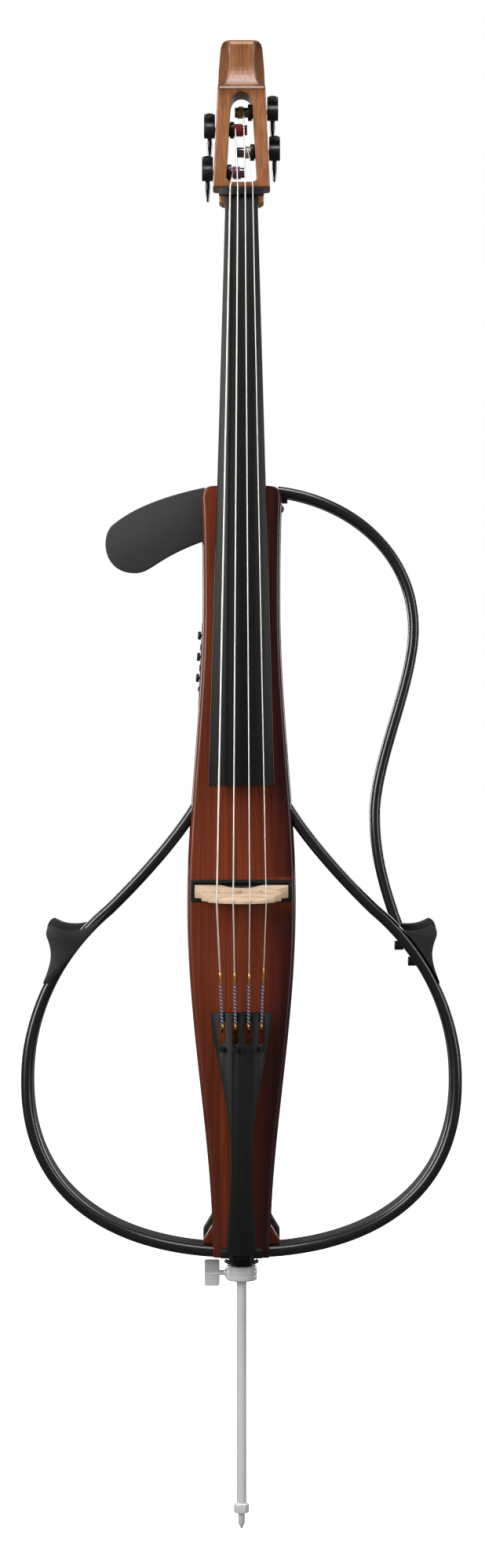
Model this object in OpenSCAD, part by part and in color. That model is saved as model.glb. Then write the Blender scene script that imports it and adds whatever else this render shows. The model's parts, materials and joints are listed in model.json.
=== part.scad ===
// Frame cello with a slim hollow body, open side frames and a sliding endpin.
// +Z runs up from the tip of the endpin, the strings face -Y, and X = 0 is the centre line.

/* [Body] */
// Height of the lower end of the body above the tip of the endpin
body_bottom = 278; // [270:1:286]
// Length of the wooden body
body_len = 769; // [765:1:773]
// Width of the body at the bridge
body_max_w = 107; // [104:1:110]
// Width of the body beside the fingerboard
body_min_w = 76; // [75:1:78]
// Width of the body at its lower end
body_end_w = 56; // [55:1:57]
// Distance of the body's front face in front of the endpin axis
front_d = 36; // [35:0.5:37]
// Thickness of the front plate
front_t = 12; // [10:1:13]
// Wall of the hollow back
wall = 7; // [6:0.5:8]

/* [Neck and fingerboard] */
// Height of the nut's lower edge above the body's lower end
nut_rise = 1057; // [1055:1:1059]
// Length of the fingerboard
fingerboard_len = 587; // [580:1:590]
// Width of the fingerboard at the nut
fingerboard_w0 = 32; // [31:0.5:33]
// Width of the fingerboard at its lower end
fingerboard_w1 = 65; // [63:0.5:66]
// Radius of the fingerboard's arch
fingerboard_r = 62; // [60:1:66]
// Height of the head above the nut's lower edge
head_rise = 162; // [160:1:164]

/* [Strings] */
// Distance from the nut to the bridge
string_len = 701; // [698:1:703]
// Spread of the four strings at the nut
nut_spread = 22.5; // [21:0.5:24]
// Spread of the four strings at the bridge
bridge_spread = 48.5; // [47:0.5:50]
// Height of the bridge above the body's front face
bridge_h = 44; // [43:0.5:45]

/* [Side frames] */
// Greatest width over the lower frames
frame_w = 440; // [436:1:444]
// Width of the rail's front bead
rail_w = 11.5; // [11:0.25:12]
// Depth of the front bead
bead_d = 13; // [12:0.5:14]
// Depth of the band behind the bead
band_d = 32; // [28:1:34]

/* [Endpin] */
// Radius of the endpin rod
rod_r = 5; // [4.9:0.05:5.1]
// Length of rod kept inside the body
rod_inside = 130; // [110:5:135]
// Radial running clearance of shafts in their bores
run = 0.05; // [0.03:0.01:0.08]

/* [Hidden] */
$fn = 64;
eps = 0.01;

// Heights
body_top = body_bottom + body_len;
nut_z = body_bottom + nut_rise;
head_top = nut_z + head_rise;
bridge_z = nut_z - string_len;
board_end_z = nut_z - fingerboard_len;
body_wide_z = body_bottom + 357;
collar_h = 14.7;
ferrule_h = 12.7;
collar_z = body_bottom - ferrule_h - collar_h;

// Depths, with the front negative
front_y = -front_d;
seam_y = front_y + front_t;
back_wide_y = 38;
crown_y = front_y - bridge_h;
board_top_y0 = -44;
board_top_y1 = -66.5;
board_under_y0 = -36.5;
board_under_y1 = -51;
nut_top_y = -47;

// Curves
function bez(p, n) = [for (i = [0:n]) let (t = i / n)
    p[0] * pow(1 - t, 3) + 3 * p[1] * t * pow(1 - t, 2) + 3 * p[2] * t * t * (1 - t) + p[3] * pow(t, 3)];
function tail(a) = [for (i = [1:len(a) - 1]) a[i]];
function back_to_front(a) = [for (i = [len(a) - 1:-1:0]) a[i]];
function flip(a) = [for (p = a) [-p[0], p[1]]];
function unit(v) = v / norm(v);
// Unit normal of a path at its point i
function side(a, i) = let (d = unit(a[min(i + 1, len(a) - 1)] - a[max(i - 1, 0)])) [d[1], -d[0]];
function lerp(a, b, t) = a + (b - a) * t;

// Extrudes an outline drawn in X and Z from depth y0 to depth y1
module slab(y0, y1) {
    translate([0, y1, 0])
        rotate([90, 0, 0])
            linear_extrude(height = y1 - y0)
                children();
}
// Extrudes a profile drawn in Y and Z between x0 and x1
module side_slab(x0, x1) {
    translate([x0, 0, 0])
        rotate([90, 0, 90])
            linear_extrude(height = x1 - x0)
                children();
}
// Round rod between two points
module rod(p, q, r, ends = 24) {
    v = q - p;
    translate(p)
        rotate([0, acos(v[2] / norm(v)), atan2(v[1], v[0])])
            cylinder(h = norm(v), r = r, $fn = ends);
}
// Tapered rod between two points
module taper(p, q, r1, r2) {
    v = q - p;
    translate(p)
        rotate([0, acos(v[2] / norm(v)), atan2(v[1], v[0])])
            cylinder(h = norm(v), r1 = r1, r2 = r2);
}
// Bent wire of one thickness along the points a
module wire(a, r, sides = 8) {
    n = len(a) - 1;
    points = [for (i = [0:n])
        let (
            d = unit(a[min(i + 1, n)] - a[max(i - 1, 0)]),
            u = unit(cross(d, [1, 0, 0])),
            w = cross(d, u))
        for (k = [0:sides - 1])
            a[i] + r * (cos(k * 360 / sides) * u + sin(k * 360 / sides) * w)];
    polyhedron(points, concat(
        [[for (k = [0:sides - 1]) k]],
        [for (i = [0:n - 1]) for (k = [0:sides - 1]) let (m = (k + 1) % sides)
            [i * sides + k, i * sides + sides + k, i * sides + sides + m, i * sides + m]],
        [[for (k = [sides - 1:-1:0]) n * sides + k]]));
}
// Disc or bore along +X starting at x
module xcyl(x, y, z, h, r, sides = 48) {
    translate([x, y, z])
        rotate([0, 90, 0])
            cylinder(h = h, r = r, $fn = sides);
}
// Disc or bore along +Y starting at y
module ycyl(x, y, z, h, r, sides = 48) {
    translate([x, y, z])
        rotate([-90, 0, 0])
            cylinder(h = h, r = r, $fn = sides);
}
module block(x0, x1, y0, y1, z0, z1) {
    translate([x0, y0, z0])
        cube([x1 - x0, y1 - y0, z1 - z0]);
}

// ---- Body ----
// Right-hand edge of the body from bottom to top; inset moves it towards the centre line
function body_edge(inset) = let (
        e = body_end_w / 2 - inset,
        w = body_max_w / 2 - inset,
        m = body_min_w / 2 - inset,
        zw = body_wide_z,
        zt = body_top)
    concat(
        bez([[e, body_bottom], [e, body_bottom + 122], [w, zw - 135], [w, zw]], 18),
        tail(bez([[w, zw], [w, zw + 85], [m, zt - 217], [m, zt - 117]], 14)),
        tail(bez([[m, zt - 117], [m, zt - 77], [m + 0.5, zt - 35], [m + 2, zt - 12]], 6)),
        tail(bez([[m + 2, zt - 12], [m + 2, zt - 4], [m - 3, zt], [m - 9, zt]], 6)));
module body_outline(inset = 0) {
    e = body_edge(inset);
    polygon(concat(e, back_to_front(flip(e))));
}
// Side profile of the body, with a boat-shaped back
module body_profile(inset = 0) {
    y = back_wide_y - inset;
    polygon(concat(
        [[front_y - 5, body_bottom], [4, body_bottom]],
        tail(bez([[4, body_bottom], [20, body_bottom], [25 - inset, body_bottom + 20],
            [27 - inset, body_bottom + 60]], 8)),
        tail(bez([[27 - inset, body_bottom + 60], [32 - inset, body_bottom + 160], [y, body_wide_z - 120],
            [y, body_wide_z]], 10)),
        tail(bez([[y, body_wide_z], [y, body_wide_z + 150], [26 - inset, body_top - 200],
            [20 - inset, body_top - 90]], 12)),
        tail(bez([[20 - inset, body_top - 90], [16 - inset, body_top - 40], [8, body_top - 12],
            [-9, body_top]], 8)),
        [[front_y - 5, body_top]]));
}
module body_solid(y0) {
    intersection() {
        slab(y0, 60)
            body_outline(-0.8);
        side_slab(-70, 70)
            body_profile();
    }
}
module neck_tenon(grow = 0) {
    block(-20 - grow, 20 + grow, front_y, -8 + grow, body_top - 57 - grow, body_top + 1);
}
tray_w = 101.4;
tray_z0 = bridge_z - 1;
tray_z1 = bridge_z + 21;
tray_floor_y = -29;
module tray_pocket() {
    block(-tray_w / 2, tray_w / 2, front_y - 4, tray_floor_y, tray_z0, tray_z1);
}
ferrule_plug_r = 12;
ferrule_top_z = body_bottom + 40;
module body_front_plate() {
    color([0.42, 0.16, 0.07])
        difference() {
            slab(front_y, seam_y)
                body_outline();
            neck_tenon();
            tray_pocket();
            translate([0, 0, body_bottom - 1])
                cylinder(h = 60, r = ferrule_plug_r);
            block(-saddle_w / 2, saddle_w / 2, front_y - 1, seam_y + 1, body_bottom - 1, body_bottom + saddle_h);
        }
}
foot_w = 77;
foot_h = 28;
foot_z = body_bottom + 12;
// Flared wooden feet that cover the frame ends
module feet_outline(grow) {
    for (s = [-1, 1])
        polygon([[s * 20, foot_z], [s * (foot_w / 2), foot_z], [s * (foot_w / 2), foot_z + 4 + grow],
            [s * 29, foot_z + 20 + grow], [s * 20, foot_z + 20 + grow]]);
}
door_w = 46;
door_z0 = body_wide_z - 33;
door_h = 66;
door_t = 3.6;
door_y = back_wide_y - 4;
module body_back_shell() {
    color([0.30, 0.11, 0.05])
        difference() {
            union() {
                body_solid(seam_y);
                slab(seam_y, -10)
                    feet_outline(0);
            }
            // chamber
            intersection() {
                slab(seam_y - 1, 60)
                    body_outline(wall);
                side_slab(-70, 70)
                    body_profile(wall);
                block(-70, 70, seam_y - 1, 60, body_bottom + 52, body_top - 70);
            }
            neck_tenon();
            translate([0, 0, body_bottom - 1])
                cylinder(h = 60, r = ferrule_plug_r);
            // socket of the upper bout
            xcyl(bout_pin_x, bout_pin_y, bout_pin_z, 40, bout_pin_r + run);
            // bore of the chest rest
            ycyl(0, -20, chest_z, 80, chest_r + run);
            panel_place()
                block(-1, 20, -19, 17, -43, 43);
            tray_pocket();
            // battery opening and the recess of its door
            block(-20, 20, 0, 60, door_z0 + 8, door_z0 + door_h - 5);
            block(-door_w / 2 - 0.4, door_w / 2 + 0.4, door_y - 0.4, 60, door_z0 - 0.4, door_z0 + door_h + 0.4);
            xcyl(-door_w / 2 - 0.4, door_y + 1.6, door_z0 + 1.6, door_w + 0.8, 2.4);
            block(-door_w / 2 - 0.4, door_w / 2 + 0.4, door_y + 1.6, 60, door_z0 - 1.4, door_z0 + 1);
            xcyl(-27, door_y + 1.6, door_z0 + 1.6, 54, 1.2 + run);
        }
}
saddle_w = 41;
saddle_h = 10;
saddle_y = front_y - 4.6;
module tail_saddle() {
    color([0.05, 0.05, 0.05])
        difference() {
            intersection() {
                block(-saddle_w / 2, saddle_w / 2, saddle_y, seam_y, body_bottom, body_bottom + saddle_h);
                xcyl(-30, front_y + 6, body_bottom - 3, 60, 15);
            }
            translate([0, 0, body_bottom - 1])
                cylinder(h = 60, r = ferrule_plug_r);
        }
}

// ---- Neck, pegbox and fingerboard ----
function under_y(z) = lerp(board_under_y0, board_under_y1, (nut_z - z) / fingerboard_len);
cheek_z = nut_z + 8;
cheek_w0 = 57.2;
cheek_w1 = 48;
opening_z1 = nut_z + 106;
ledge_z = nut_z + 110;
module head_outline() {
    half = concat(
        [[16, nut_z - 24]],
        bez([[16, nut_z - 8], [20, nut_z - 8], [22.5, nut_z - 6], [22.5, nut_z - 2]], 4),
        [[22.5, cheek_z], [cheek_w0 / 2, cheek_z], [cheek_w1 / 2, ledge_z]],
        bez([[23.4, ledge_z + 2], [22.8, ledge_z + 20], [22, ledge_z + 33], [21.2, head_top - 10]], 5),
        tail(bez([[21.2, head_top - 10], [20.8, head_top - 3], [18, head_top], [12, head_top]], 6)));
    polygon(concat(half, back_to_front(flip(half))));
}
module head_profile() {
    polygon(concat(
        [[under_y(nut_z - 60), nut_z - 60], [board_under_y0, nut_z], [-37, nut_z + 7.5], [-40, cheek_z],
            [-29, ledge_z - 6], [-30, ledge_z - 1], [-29, ledge_z + 2]],
        bez([[-26, ledge_z + 3], [-17, ledge_z + 12], [-14, ledge_z + 28], [-17, head_top - 5]], 8),
        bez([[-14, head_top], [-6, head_top + 1], [8, head_top], [12, head_top - 12]], 6),
        tail(bez([[12, head_top - 12], [13, ledge_z + 10], [4, ledge_z - 10], [2, nut_z + 75]], 6)),
        tail(bez([[2, nut_z + 75], [-1, nut_z + 45], [-4, nut_z + 20], [-19, nut_z - 15]], 8)),
        [[-19, nut_z - 60]]));
}
module pegbox_opening() {
    w0 = 15.3;
    w1 = 10.8;
    z0 = nut_z + 14;
    half = concat(
        bez([[w0 - 5, z0], [w0 - 2, z0], [w0, z0 + 2], [w0, z0 + 5]], 4),
        [[w1 + 0.4, opening_z1 - 14]],
        bez([[w1 + 0.2, opening_z1 - 11], [w1, opening_z1 - 4], [6, opening_z1], [0, opening_z1]], 6));
    slab(-60, 40)
        polygon(concat(half, back_to_front(flip(half))));
}
module neck_and_pegbox() {
    color([0.66, 0.38, 0.17])
        difference() {
            union() {
                intersection() {
                    slab(-60, 40)
                        head_outline();
                    side_slab(-40, 40)
                        head_profile();
                }
                neck_shaft();
                neck_tenon();
            }
            pegbox_opening();
            for (i = [0:3])
                xcyl(tuner_side(i) > 0 ? 5 : -45, tuner_y(i), tuner_z(i), 40, bushing_r);
            // groove of the lowest string at the foot of the pegbox
            rod(string_over_nut(0), string_at_post(0), string_r[0] + 0.4);
        }
}
// Tapered neck with a round back and a flat glued face
module neck_shaft() {
    z0 = body_top - 107;
    intersection() {
        union() {
            taper([0, -40, body_top - 1], [0, -33, nut_z - 11], 22, 15.6);
            block(-20, 20, -60, front_y, z0, body_top);
        }
        side_slab(-40, 40)
            polygon([[board_under_y0, nut_z], [under_y(z0), z0], [front_y, z0], [front_y, body_top], [2, body_top],
                [2, nut_z - 11]]);
    }
}
module fingerboard() {
    tilt = atan((board_top_y0 - board_top_y1) / fingerboard_len);
    color([0.07, 0.07, 0.07])
        intersection() {
            slab(-90, -20)
                polygon([[-fingerboard_w0 / 2, nut_z], [fingerboard_w0 / 2, nut_z],
                    [fingerboard_w1 / 2, board_end_z], [-fingerboard_w1 / 2, board_end_z]]);
            translate([0, board_top_y0, nut_z])
                rotate([-tilt, 0, 0])
                    translate([0, fingerboard_r, -fingerboard_len - 50])
                        cylinder(h = fingerboard_len + 100, r = fingerboard_r, $fn = 180);
            side_slab(-40, 40)
                polygon([[board_under_y0, nut_z], [board_under_y1, board_end_z], [-90, board_end_z], [-90, nut_z]]);
        }
}
nut_h = 7.5;
nut_w = 45;
module nut() {
    color([0.05, 0.05, 0.05])
        difference() {
            intersection() {
                block(-nut_w / 2, nut_w / 2, nut_top_y, -36.9, nut_z, nut_z + nut_h - 0.2);
                translate([0, nut_top_y + 60, nut_z - 5])
                    cylinder(h = 20, r = 60, $fn = 180);
            }
            for (i = [0:3])
                rod([string_x_nut(i), nut_string_y(i), nut_z - 1], [string_x_nut(i), nut_string_y(i), nut_z + 20],
                    string_r[i] + 0.02, 16);
            side_slab(-40, 40)
                polygon([[-36, nut_z - 1], [board_under_y0, nut_z], [-37.05, nut_z + nut_h], [-36, nut_z + 9]]);
        }
}

// ---- Bridge, strings and tailpiece ----
string_r = [0.85, 0.7, 0.58, 0.48];
function string_x_nut(i) = nut_spread * (i / 3 - 0.5);
function string_x_bridge(i) = bridge_spread * (i / 3 - 0.5);
crown_r = 62;
function crown_sag(x) = crown_r - sqrt(crown_r * crown_r - x * x);
function nut_sag(x) = 60 - sqrt(3600 - x * x);
function nut_string_y(i) = nut_top_y + nut_sag(string_x_nut(i)) + 0.2;
function bridge_string_y(i) = crown_y + crown_sag(string_x_bridge(i)) - string_r[i];
module bridge_tray() {
    lip = 3.6;
    color([0.06, 0.06, 0.06])
        difference() {
            block(-tray_w / 2, tray_w / 2, front_y - 2.5, tray_floor_y, tray_z0, tray_z1);
            block(-tray_w / 2 + lip, tray_w / 2 - lip, front_y - 5, tray_floor_y - 2, tray_z0 + lip, tray_z1 - lip);
        }
}
pickup_y = tray_floor_y - 4;
module bridge_pickup() {
    color([0.7, 0.62, 0.4])
        block(-44, 44, pickup_y, tray_floor_y - 2, bridge_z + 5, bridge_z + 15);
}
// Front view of the bridge: X across, and its height as -Y
module bridge_outline() {
    foot = 46.5;
    top = 33;
    h = pickup_y - crown_y;
    half = concat(
        [[22, 0], [foot, 0], [foot, 7]],
        bez([[foot - 3, 10], [foot - 6, 13], [35, 15], [35.5, 20]], 6),
        bez([[38, 22], [41, 25], [39, 29], [36, 30]], 6),
        [[top, 33]],
        [for (i = [0:8]) let (x = top * (1 - i / 8)) [x, h - crown_sag(x)]]);
    arch = bez([[0, 13], [12, 13], [18, 9], [22, 0]], 8);
    difference() {
        polygon(concat(half, tail(back_to_front(flip(half))), back_to_front(flip(arch)), tail(arch)));
        // heart and side openings
        translate([-3, 24])
            circle(r = 3.6, $fn = 24);
        translate([3, 24])
            circle(r = 3.6, $fn = 24);
        polygon([[-6, 22.3], [0, 25], [6, 22.3], [0, 15.5]]);
        for (s = [-1, 1])
            translate([s * 22, 22])
                circle(r = 4, $fn = 24);
    }
}
module bridge() {
    color([0.86, 0.69, 0.50])
        difference() {
            intersection() {
                translate([0, pickup_y, bridge_z - 20])
                    mirror([0, 1, 0])
                        linear_extrude(height = 60)
                            bridge_outline();
                side_slab(-60, 60)
                    polygon([[pickup_y, bridge_z + 3.2], [pickup_y, bridge_z + 16], [front_y - 4, bridge_z + 15],
                        [crown_y, bridge_z + 1], [crown_y - 1, bridge_z - 2], [front_y - 4, bridge_z + 3]]);
            }
            for (i = [0:3])
                rod([string_x_bridge(i), bridge_string_y(i), bridge_z - 20],
                    [string_x_bridge(i), bridge_string_y(i), bridge_z + 20], string_r[i] + 0.07, 16);
        }
}
tailpiece_len = 242;
tailpiece_z0 = body_bottom + 4;
tailpiece_z1 = tailpiece_z0 + tailpiece_len;
tailpiece_w = 62;
tail_top_y = -64;
tail_low_y = -50;
slot_z0 = tailpiece_z1 - 31;
function slot_x(i) = 39 * (i / 3 - 0.5) + 0.5;
tail_tilt = atan((tail_low_y - tail_top_y) / tailpiece_len);
tail_arch_r = 48;
module tailpiece_outline() {
    z0 = tailpiece_z0;
    half = concat(
        bez([[8, z0], [12, z0], [14.6, z0 + 2], [14.6, z0 + 10]], 5),
        tail(bez([[14.6, z0 + 10], [13.4, z0 + 35], [10.2, z0 + 60], [10.2, z0 + 96]], 7)),
        tail(bez([[10.2, z0 + 96], [10.2, z0 + 148], [26, z0 + 192], [31, tailpiece_z1]], 10)));
    polygon(concat(half, back_to_front(flip(half))));
}
module tailpiece() {
    color([0.09, 0.09, 0.09])
        difference() {
            intersection() {
                slab(-90, -20)
                    tailpiece_outline();
                translate([0, tail_low_y, tailpiece_z0])
                    rotate([tail_tilt, 0, 0])
                        difference() {
                            translate([0, tail_arch_r, -20])
                                cylinder(h = 300, r = tail_arch_r, $fn = 120);
                            translate([-40, 13, -30])
                                cube([80, 90, 320]);
                        }
            }
            for (i = [0:3]) {
                block(slot_x(i) - 3.1, slot_x(i) + 3.1, -90, -20, slot_z0 + 3, slot_z0 + 20);
                ycyl(slot_x(i), -90, slot_z0 + 3, 70, 3.1, 24);
                ycyl(slot_x(i), -90, slot_z0 + 20, 70, 3.1, 24);
                ycyl(screw_x(i), -90, screw_z, 70, 1.5 + run, 24);
            }
            // relief over the saddle, and the holes of the tail cord
            block(-20, 20, saddle_y - 1, -20, tailpiece_z0 - 1, body_bottom + saddle_h + 1);
            for (s = [-1, 1])
                wire(cord_route(s), cord_r + 0.25);
        }
}
screw_z = tailpiece_z1 - 36;
function screw_x(i) = slot_x(i) * 1.04;
function tail_surface_y(x, z) = lerp(tail_low_y, tail_top_y, (z - tailpiece_z0) / tailpiece_len)
    + tail_arch_r - sqrt(tail_arch_r * tail_arch_r - x * x);
module fine_tuner_screw(i) {
    y = tail_surface_y(screw_x(i), screw_z);
    color([0.12, 0.12, 0.12]) {
        ycyl(screw_x(i), y - 1.9, screw_z, 14, 1.5, 24);
        difference() {
            ycyl(screw_x(i), y - 5.2, screw_z, 3.8, 2.8, 32);
            for (a = [0:30:330])
                translate([screw_x(i), 0, screw_z])
                    rotate([0, a, 0])
                        ycyl(3.1, y - 6, 0, 6, 0.45, 16);
        }
    }
}
string_end_z = slot_z0 + 12;
slot_edge_z = slot_z0 + 24;
function string_over_nut(i) = [string_x_nut(i), nut_string_y(i), nut_z + nut_h];
function string_at_post(i) = let (post = string_post[i])
    [post_x[i], tuner_y(post) - post_r - 0.5 - string_r[i], tuner_z(post)];
module cello_string(i) {
    r = string_r[i];
    nut_p = [string_x_nut(i), nut_string_y(i), nut_z + 0.3];
    bridge_p = [string_x_bridge(i), bridge_string_y(i), bridge_z + 1];
    bridge_q = [string_x_bridge(i), bridge_string_y(i), bridge_z - 2.5];
    edge_p = [slot_x(i), tail_surface_y(slot_x(i), slot_edge_z) - r - 0.7, slot_edge_z];
    tail_p = [slot_x(i), tail_surface_y(slot_x(i), string_end_z) + 2, string_end_z];
    color([0.8, 0.8, 0.78])
        wire([string_at_post(i), string_over_nut(i), nut_p, bridge_p, bridge_q, edge_p, tail_p], r);
}
// Cord from the tailpiece over the saddle to the ferrule, one run on each side
cord_r = 2.2;
function cord_route(s) = [[s * 9, tail_low_y + 4.4, tailpiece_z0 + 12], [s * 9.6, tail_low_y + 4.8, tailpiece_z0 - 1],
    [s * 11, saddle_y - 2, body_bottom - 2.4], [s * 13, -22, body_bottom - 6.5], [s * 15.6, -4, body_bottom - 8]];
module tail_cord() {
    color([0.04, 0.04, 0.04])
        for (s = [-1, 1])
            wire(cord_route(s), cord_r);
}

// ---- Tuning machines, 0 right upper, 1 left upper, 2 right lower, 3 left lower ----
post_r = 5;
bushing_r = 6.2;
string_post = [3, 1, 0, 2];
post_x = [-8.6, -6.2, 2, 7];
post_free_x = [6.7, 5.7, 5, 3.2];
worm_tilt = 35;
gear_r = 5.4;
worm_r = 3.3;
worm_gap = 0.15;
worm_c = gear_r + worm_r + worm_gap;
housing_x = 11;
function tuner_side(i) = i % 2 == 0 ? 1 : -1;
function tuner_z(i) = nut_z + [90, 72, 49, 28][i];
function tuner_y(i) = [-5.5, -7, -10, -13][i];
function cheek_x(i) = lerp(cheek_w0, cheek_w1, (tuner_z(i) - cheek_z) / (ledge_z - cheek_z)) / 2;
function inner_x(i) = lerp(15.3, 11, (tuner_z(i) - nut_z - 19) / 73);
// Places a right-hand machine on its side, with x = 0 on the outer face of the cheek
module tuner_place(i) {
    mirror([tuner_side(i) > 0 ? 0 : 1, 0, 0])
        translate([cheek_x(i) + 0.9, tuner_y(i), tuner_z(i)])
            children();
}
// Turns +Z to point down the worm shaft towards the key
module worm_place() {
    translate([5.5, worm_c * cos(worm_tilt), worm_c * sin(worm_tilt)])
        rotate([180 + worm_tilt, 0, 0])
            children();
}
module tuner_housing(i) {
    color([0.10, 0.10, 0.10])
        tuner_place(i)
            difference() {
                union() {
                    xcyl(0, 0, 0, housing_x, 8.2);
                    worm_place()
                        translate([-5.5, -5.2, -11])
                            cube([housing_x, 10.4, 19.5]);
                    worm_place()
                        translate([0, 0, -12.5])
                            cylinder(h = 3, r = 4.6);
                }
                xcyl(-1, 0, 0, 9.4, 5.85);
                worm_place()
                    translate([0, 0, -7.5])
                        cylinder(h = 13.5, r = worm_r + 0.35);
                worm_place()
                    translate([0, 0, -10.4])
                        cylinder(h = 30, r = 2 + run);
            }
}
// Worm shaft and ear-shaped key in one piece
module tuner_key(i) {
    color([0.09, 0.09, 0.09])
        tuner_place(i)
            worm_place() {
                translate([0, 0, -10])
                    cylinder(h = 28, r = 2);
                for (k = [0:3])
                    translate([0, 0, -5 + k * 2.6])
                        cylinder(h = 1.4, r = worm_r);
                translate([0, 0, 8.8])
                    cylinder(h = 3.2, r = 3.6);
                intersection() {
                    translate([-2, 0, 0])
                        rotate([90, 0, 90])
                            linear_extrude(height = 4)
                                polygon(concat(
                                    [[-2.4, 11]],
                                    bez([[-2.4, 14], [-9, 16], [-11, 34], [0, 35]], 10),
                                    tail(bez([[0, 35], [11, 34], [9, 16], [2.4, 14]], 10)),
                                    [[2.4, 11]]));
                    translate([0, 0, 10])
                        cylinder(h = 30, r = 7.9);
                }
            }
}
module tuner_post(i) {
    len_in = cheek_x(i) + post_free_x[i];
    color([0.13, 0.13, 0.13])
        tuner_place(i)
            difference() {
                union() {
                    xcyl(-len_in - 0.9, 0, 0, len_in - 0.3, post_r);
                    xcyl(-2, 0, 0, 9.8, 2.5);
                }
                translate([-len_in - 2, -6, -0.8])
                    cube([13, 12, 1.6]);
            }
}
module tuner_gear(i) {
    teeth = 14;
    color([0.75, 0.6, 0.25])
        tuner_place(i)
            translate([3, 0, 0])
                rotate([0, 90, 0])
                    linear_extrude(height = 5)
                        difference() {
                            circle(r = gear_r);
                            for (k = [0:teeth - 1])
                                rotate(k * 360 / teeth)
                                    translate([gear_r - 1, -0.55])
                                        square([2, 1.1]);
                            circle(r = 2.5);
                        }
}
module post_bushings() {
    color([0.15, 0.15, 0.15])
        for (i = [0:3])
            tuner_place(i)
                difference() {
                    union() {
                        xcyl(inner_x(i) - cheek_x(i) - 5.7, 0, 0, 4.2, 8.3);
                        xcyl(inner_x(i) - cheek_x(i) - 2, 0, 0, cheek_x(i) - inner_x(i) + 0.6, bushing_r);
                    }
                    xcyl(-40, 0, 0, 60, post_r + run);
                }
}

// ---- Endpin ----
module endpin_ferrule() {
    color([0.06, 0.06, 0.06])
        difference() {
            union() {
                translate([0, 0, collar_z + collar_h])
                    cylinder(h = ferrule_h, r1 = 11.5, r2 = 14.5);
                translate([0, 0, body_bottom - eps])
                    cylinder(h = ferrule_top_z - body_bottom, r = ferrule_plug_r);
            }
            translate([0, 0, collar_z - 1])
                cylinder(h = 90, r = rod_r + run);
        }
}
tube_top_z = bridge_z + 16;
module endpin_guide_tube() {
    color([0.55, 0.55, 0.57])
        difference() {
            translate([0, 0, ferrule_top_z])
                cylinder(h = tube_top_z - ferrule_top_z, r = 9.5);
            translate([0, 0, ferrule_top_z - 1])
                cylinder(h = tube_top_z - ferrule_top_z + 2, r = 7.4);
        }
}
screw_shank_r = 2.6;
module endpin_collar() {
    color([0.82, 0.82, 0.84])
        difference() {
            rotate_extrude()
                polygon([[rod_r + run, collar_z], [14.7, collar_z], [15.5, collar_z + 0.8],
                    [15.5, collar_z + 4.4], [15.1, collar_z + 4.8], [15.5, collar_z + 5.2],
                    [15.5, collar_z + collar_h - 0.8], [14.7, collar_z + collar_h],
                    [rod_r + run, collar_z + collar_h]]);
            xcyl(-20, 0, collar_z + collar_h / 2, 20, screw_shank_r + run);
        }
}
module endpin_thumbscrew() {
    z = collar_z + collar_h / 2;
    tip_gap = 0.3;
    color([0.86, 0.86, 0.87]) {
        xcyl(-23, 0, z, 23 - rod_r - tip_gap, screw_shank_r);
        difference() {
            block(-37.3, -22, -2.6, 2.6, z - 13, z + 13);
            for (s = [-1, 1])
                xcyl(-38, 5.2 * s, z, 17, 3.2);
            for (x = [-37.3, -22])
                for (s = [-1, 1])
                    difference() {
                        translate([x - 2, -5, z + s * 13 - 2])
                            cube([4, 10, 4]);
                        ycyl(x + (x < -30 ? 2 : -2), -6, z + s * 11, 12, 2);
                    }
        }
    }
}
nut_base_z = 16.4;
nut_len = 9;
module endpin_rod() {
    top = collar_z + collar_h + rod_inside;
    color([0.80, 0.80, 0.81])
        difference() {
            translate([0, 0, nut_base_z + nut_len])
                cylinder(h = top - nut_base_z - nut_len, r = rod_r);
            translate([0, 0, nut_base_z])
                cylinder(h = 26, r = 3);
        }
}
module spike_lock_nut() {
    color([0.82, 0.82, 0.83])
        difference() {
            intersection() {
                translate([0, 0, nut_base_z])
                    cylinder(h = nut_len, r = 7.8, $fn = 6);
                rotate_extrude()
                    polygon([[0, nut_base_z], [6.6, nut_base_z], [8, nut_base_z + 1], [8, nut_base_z + nut_len - 1],
                        [6.6, nut_base_z + nut_len], [0, nut_base_z + nut_len]]);
            }
            translate([0, 0, nut_base_z - 1])
                cylinder(h = nut_len + 2, r = 3);
        }
}
spike_r = 3.4;
spike_tip_h = 5.6;
module endpin_spike() {
    color([0.75, 0.75, 0.76]) {
        rotate_extrude()
            polygon([[0, 0], [0.7, 0.3], [spike_r, spike_tip_h], [spike_r, nut_base_z], [3, nut_base_z],
                [3, nut_base_z + 25], [0, nut_base_z + 25]]);
    }
}

// ---- Side frames, right-hand side ----
bowl_x = frame_w / 2 - rail_w / 2;
bowl_z = body_bottom + 177;
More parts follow.
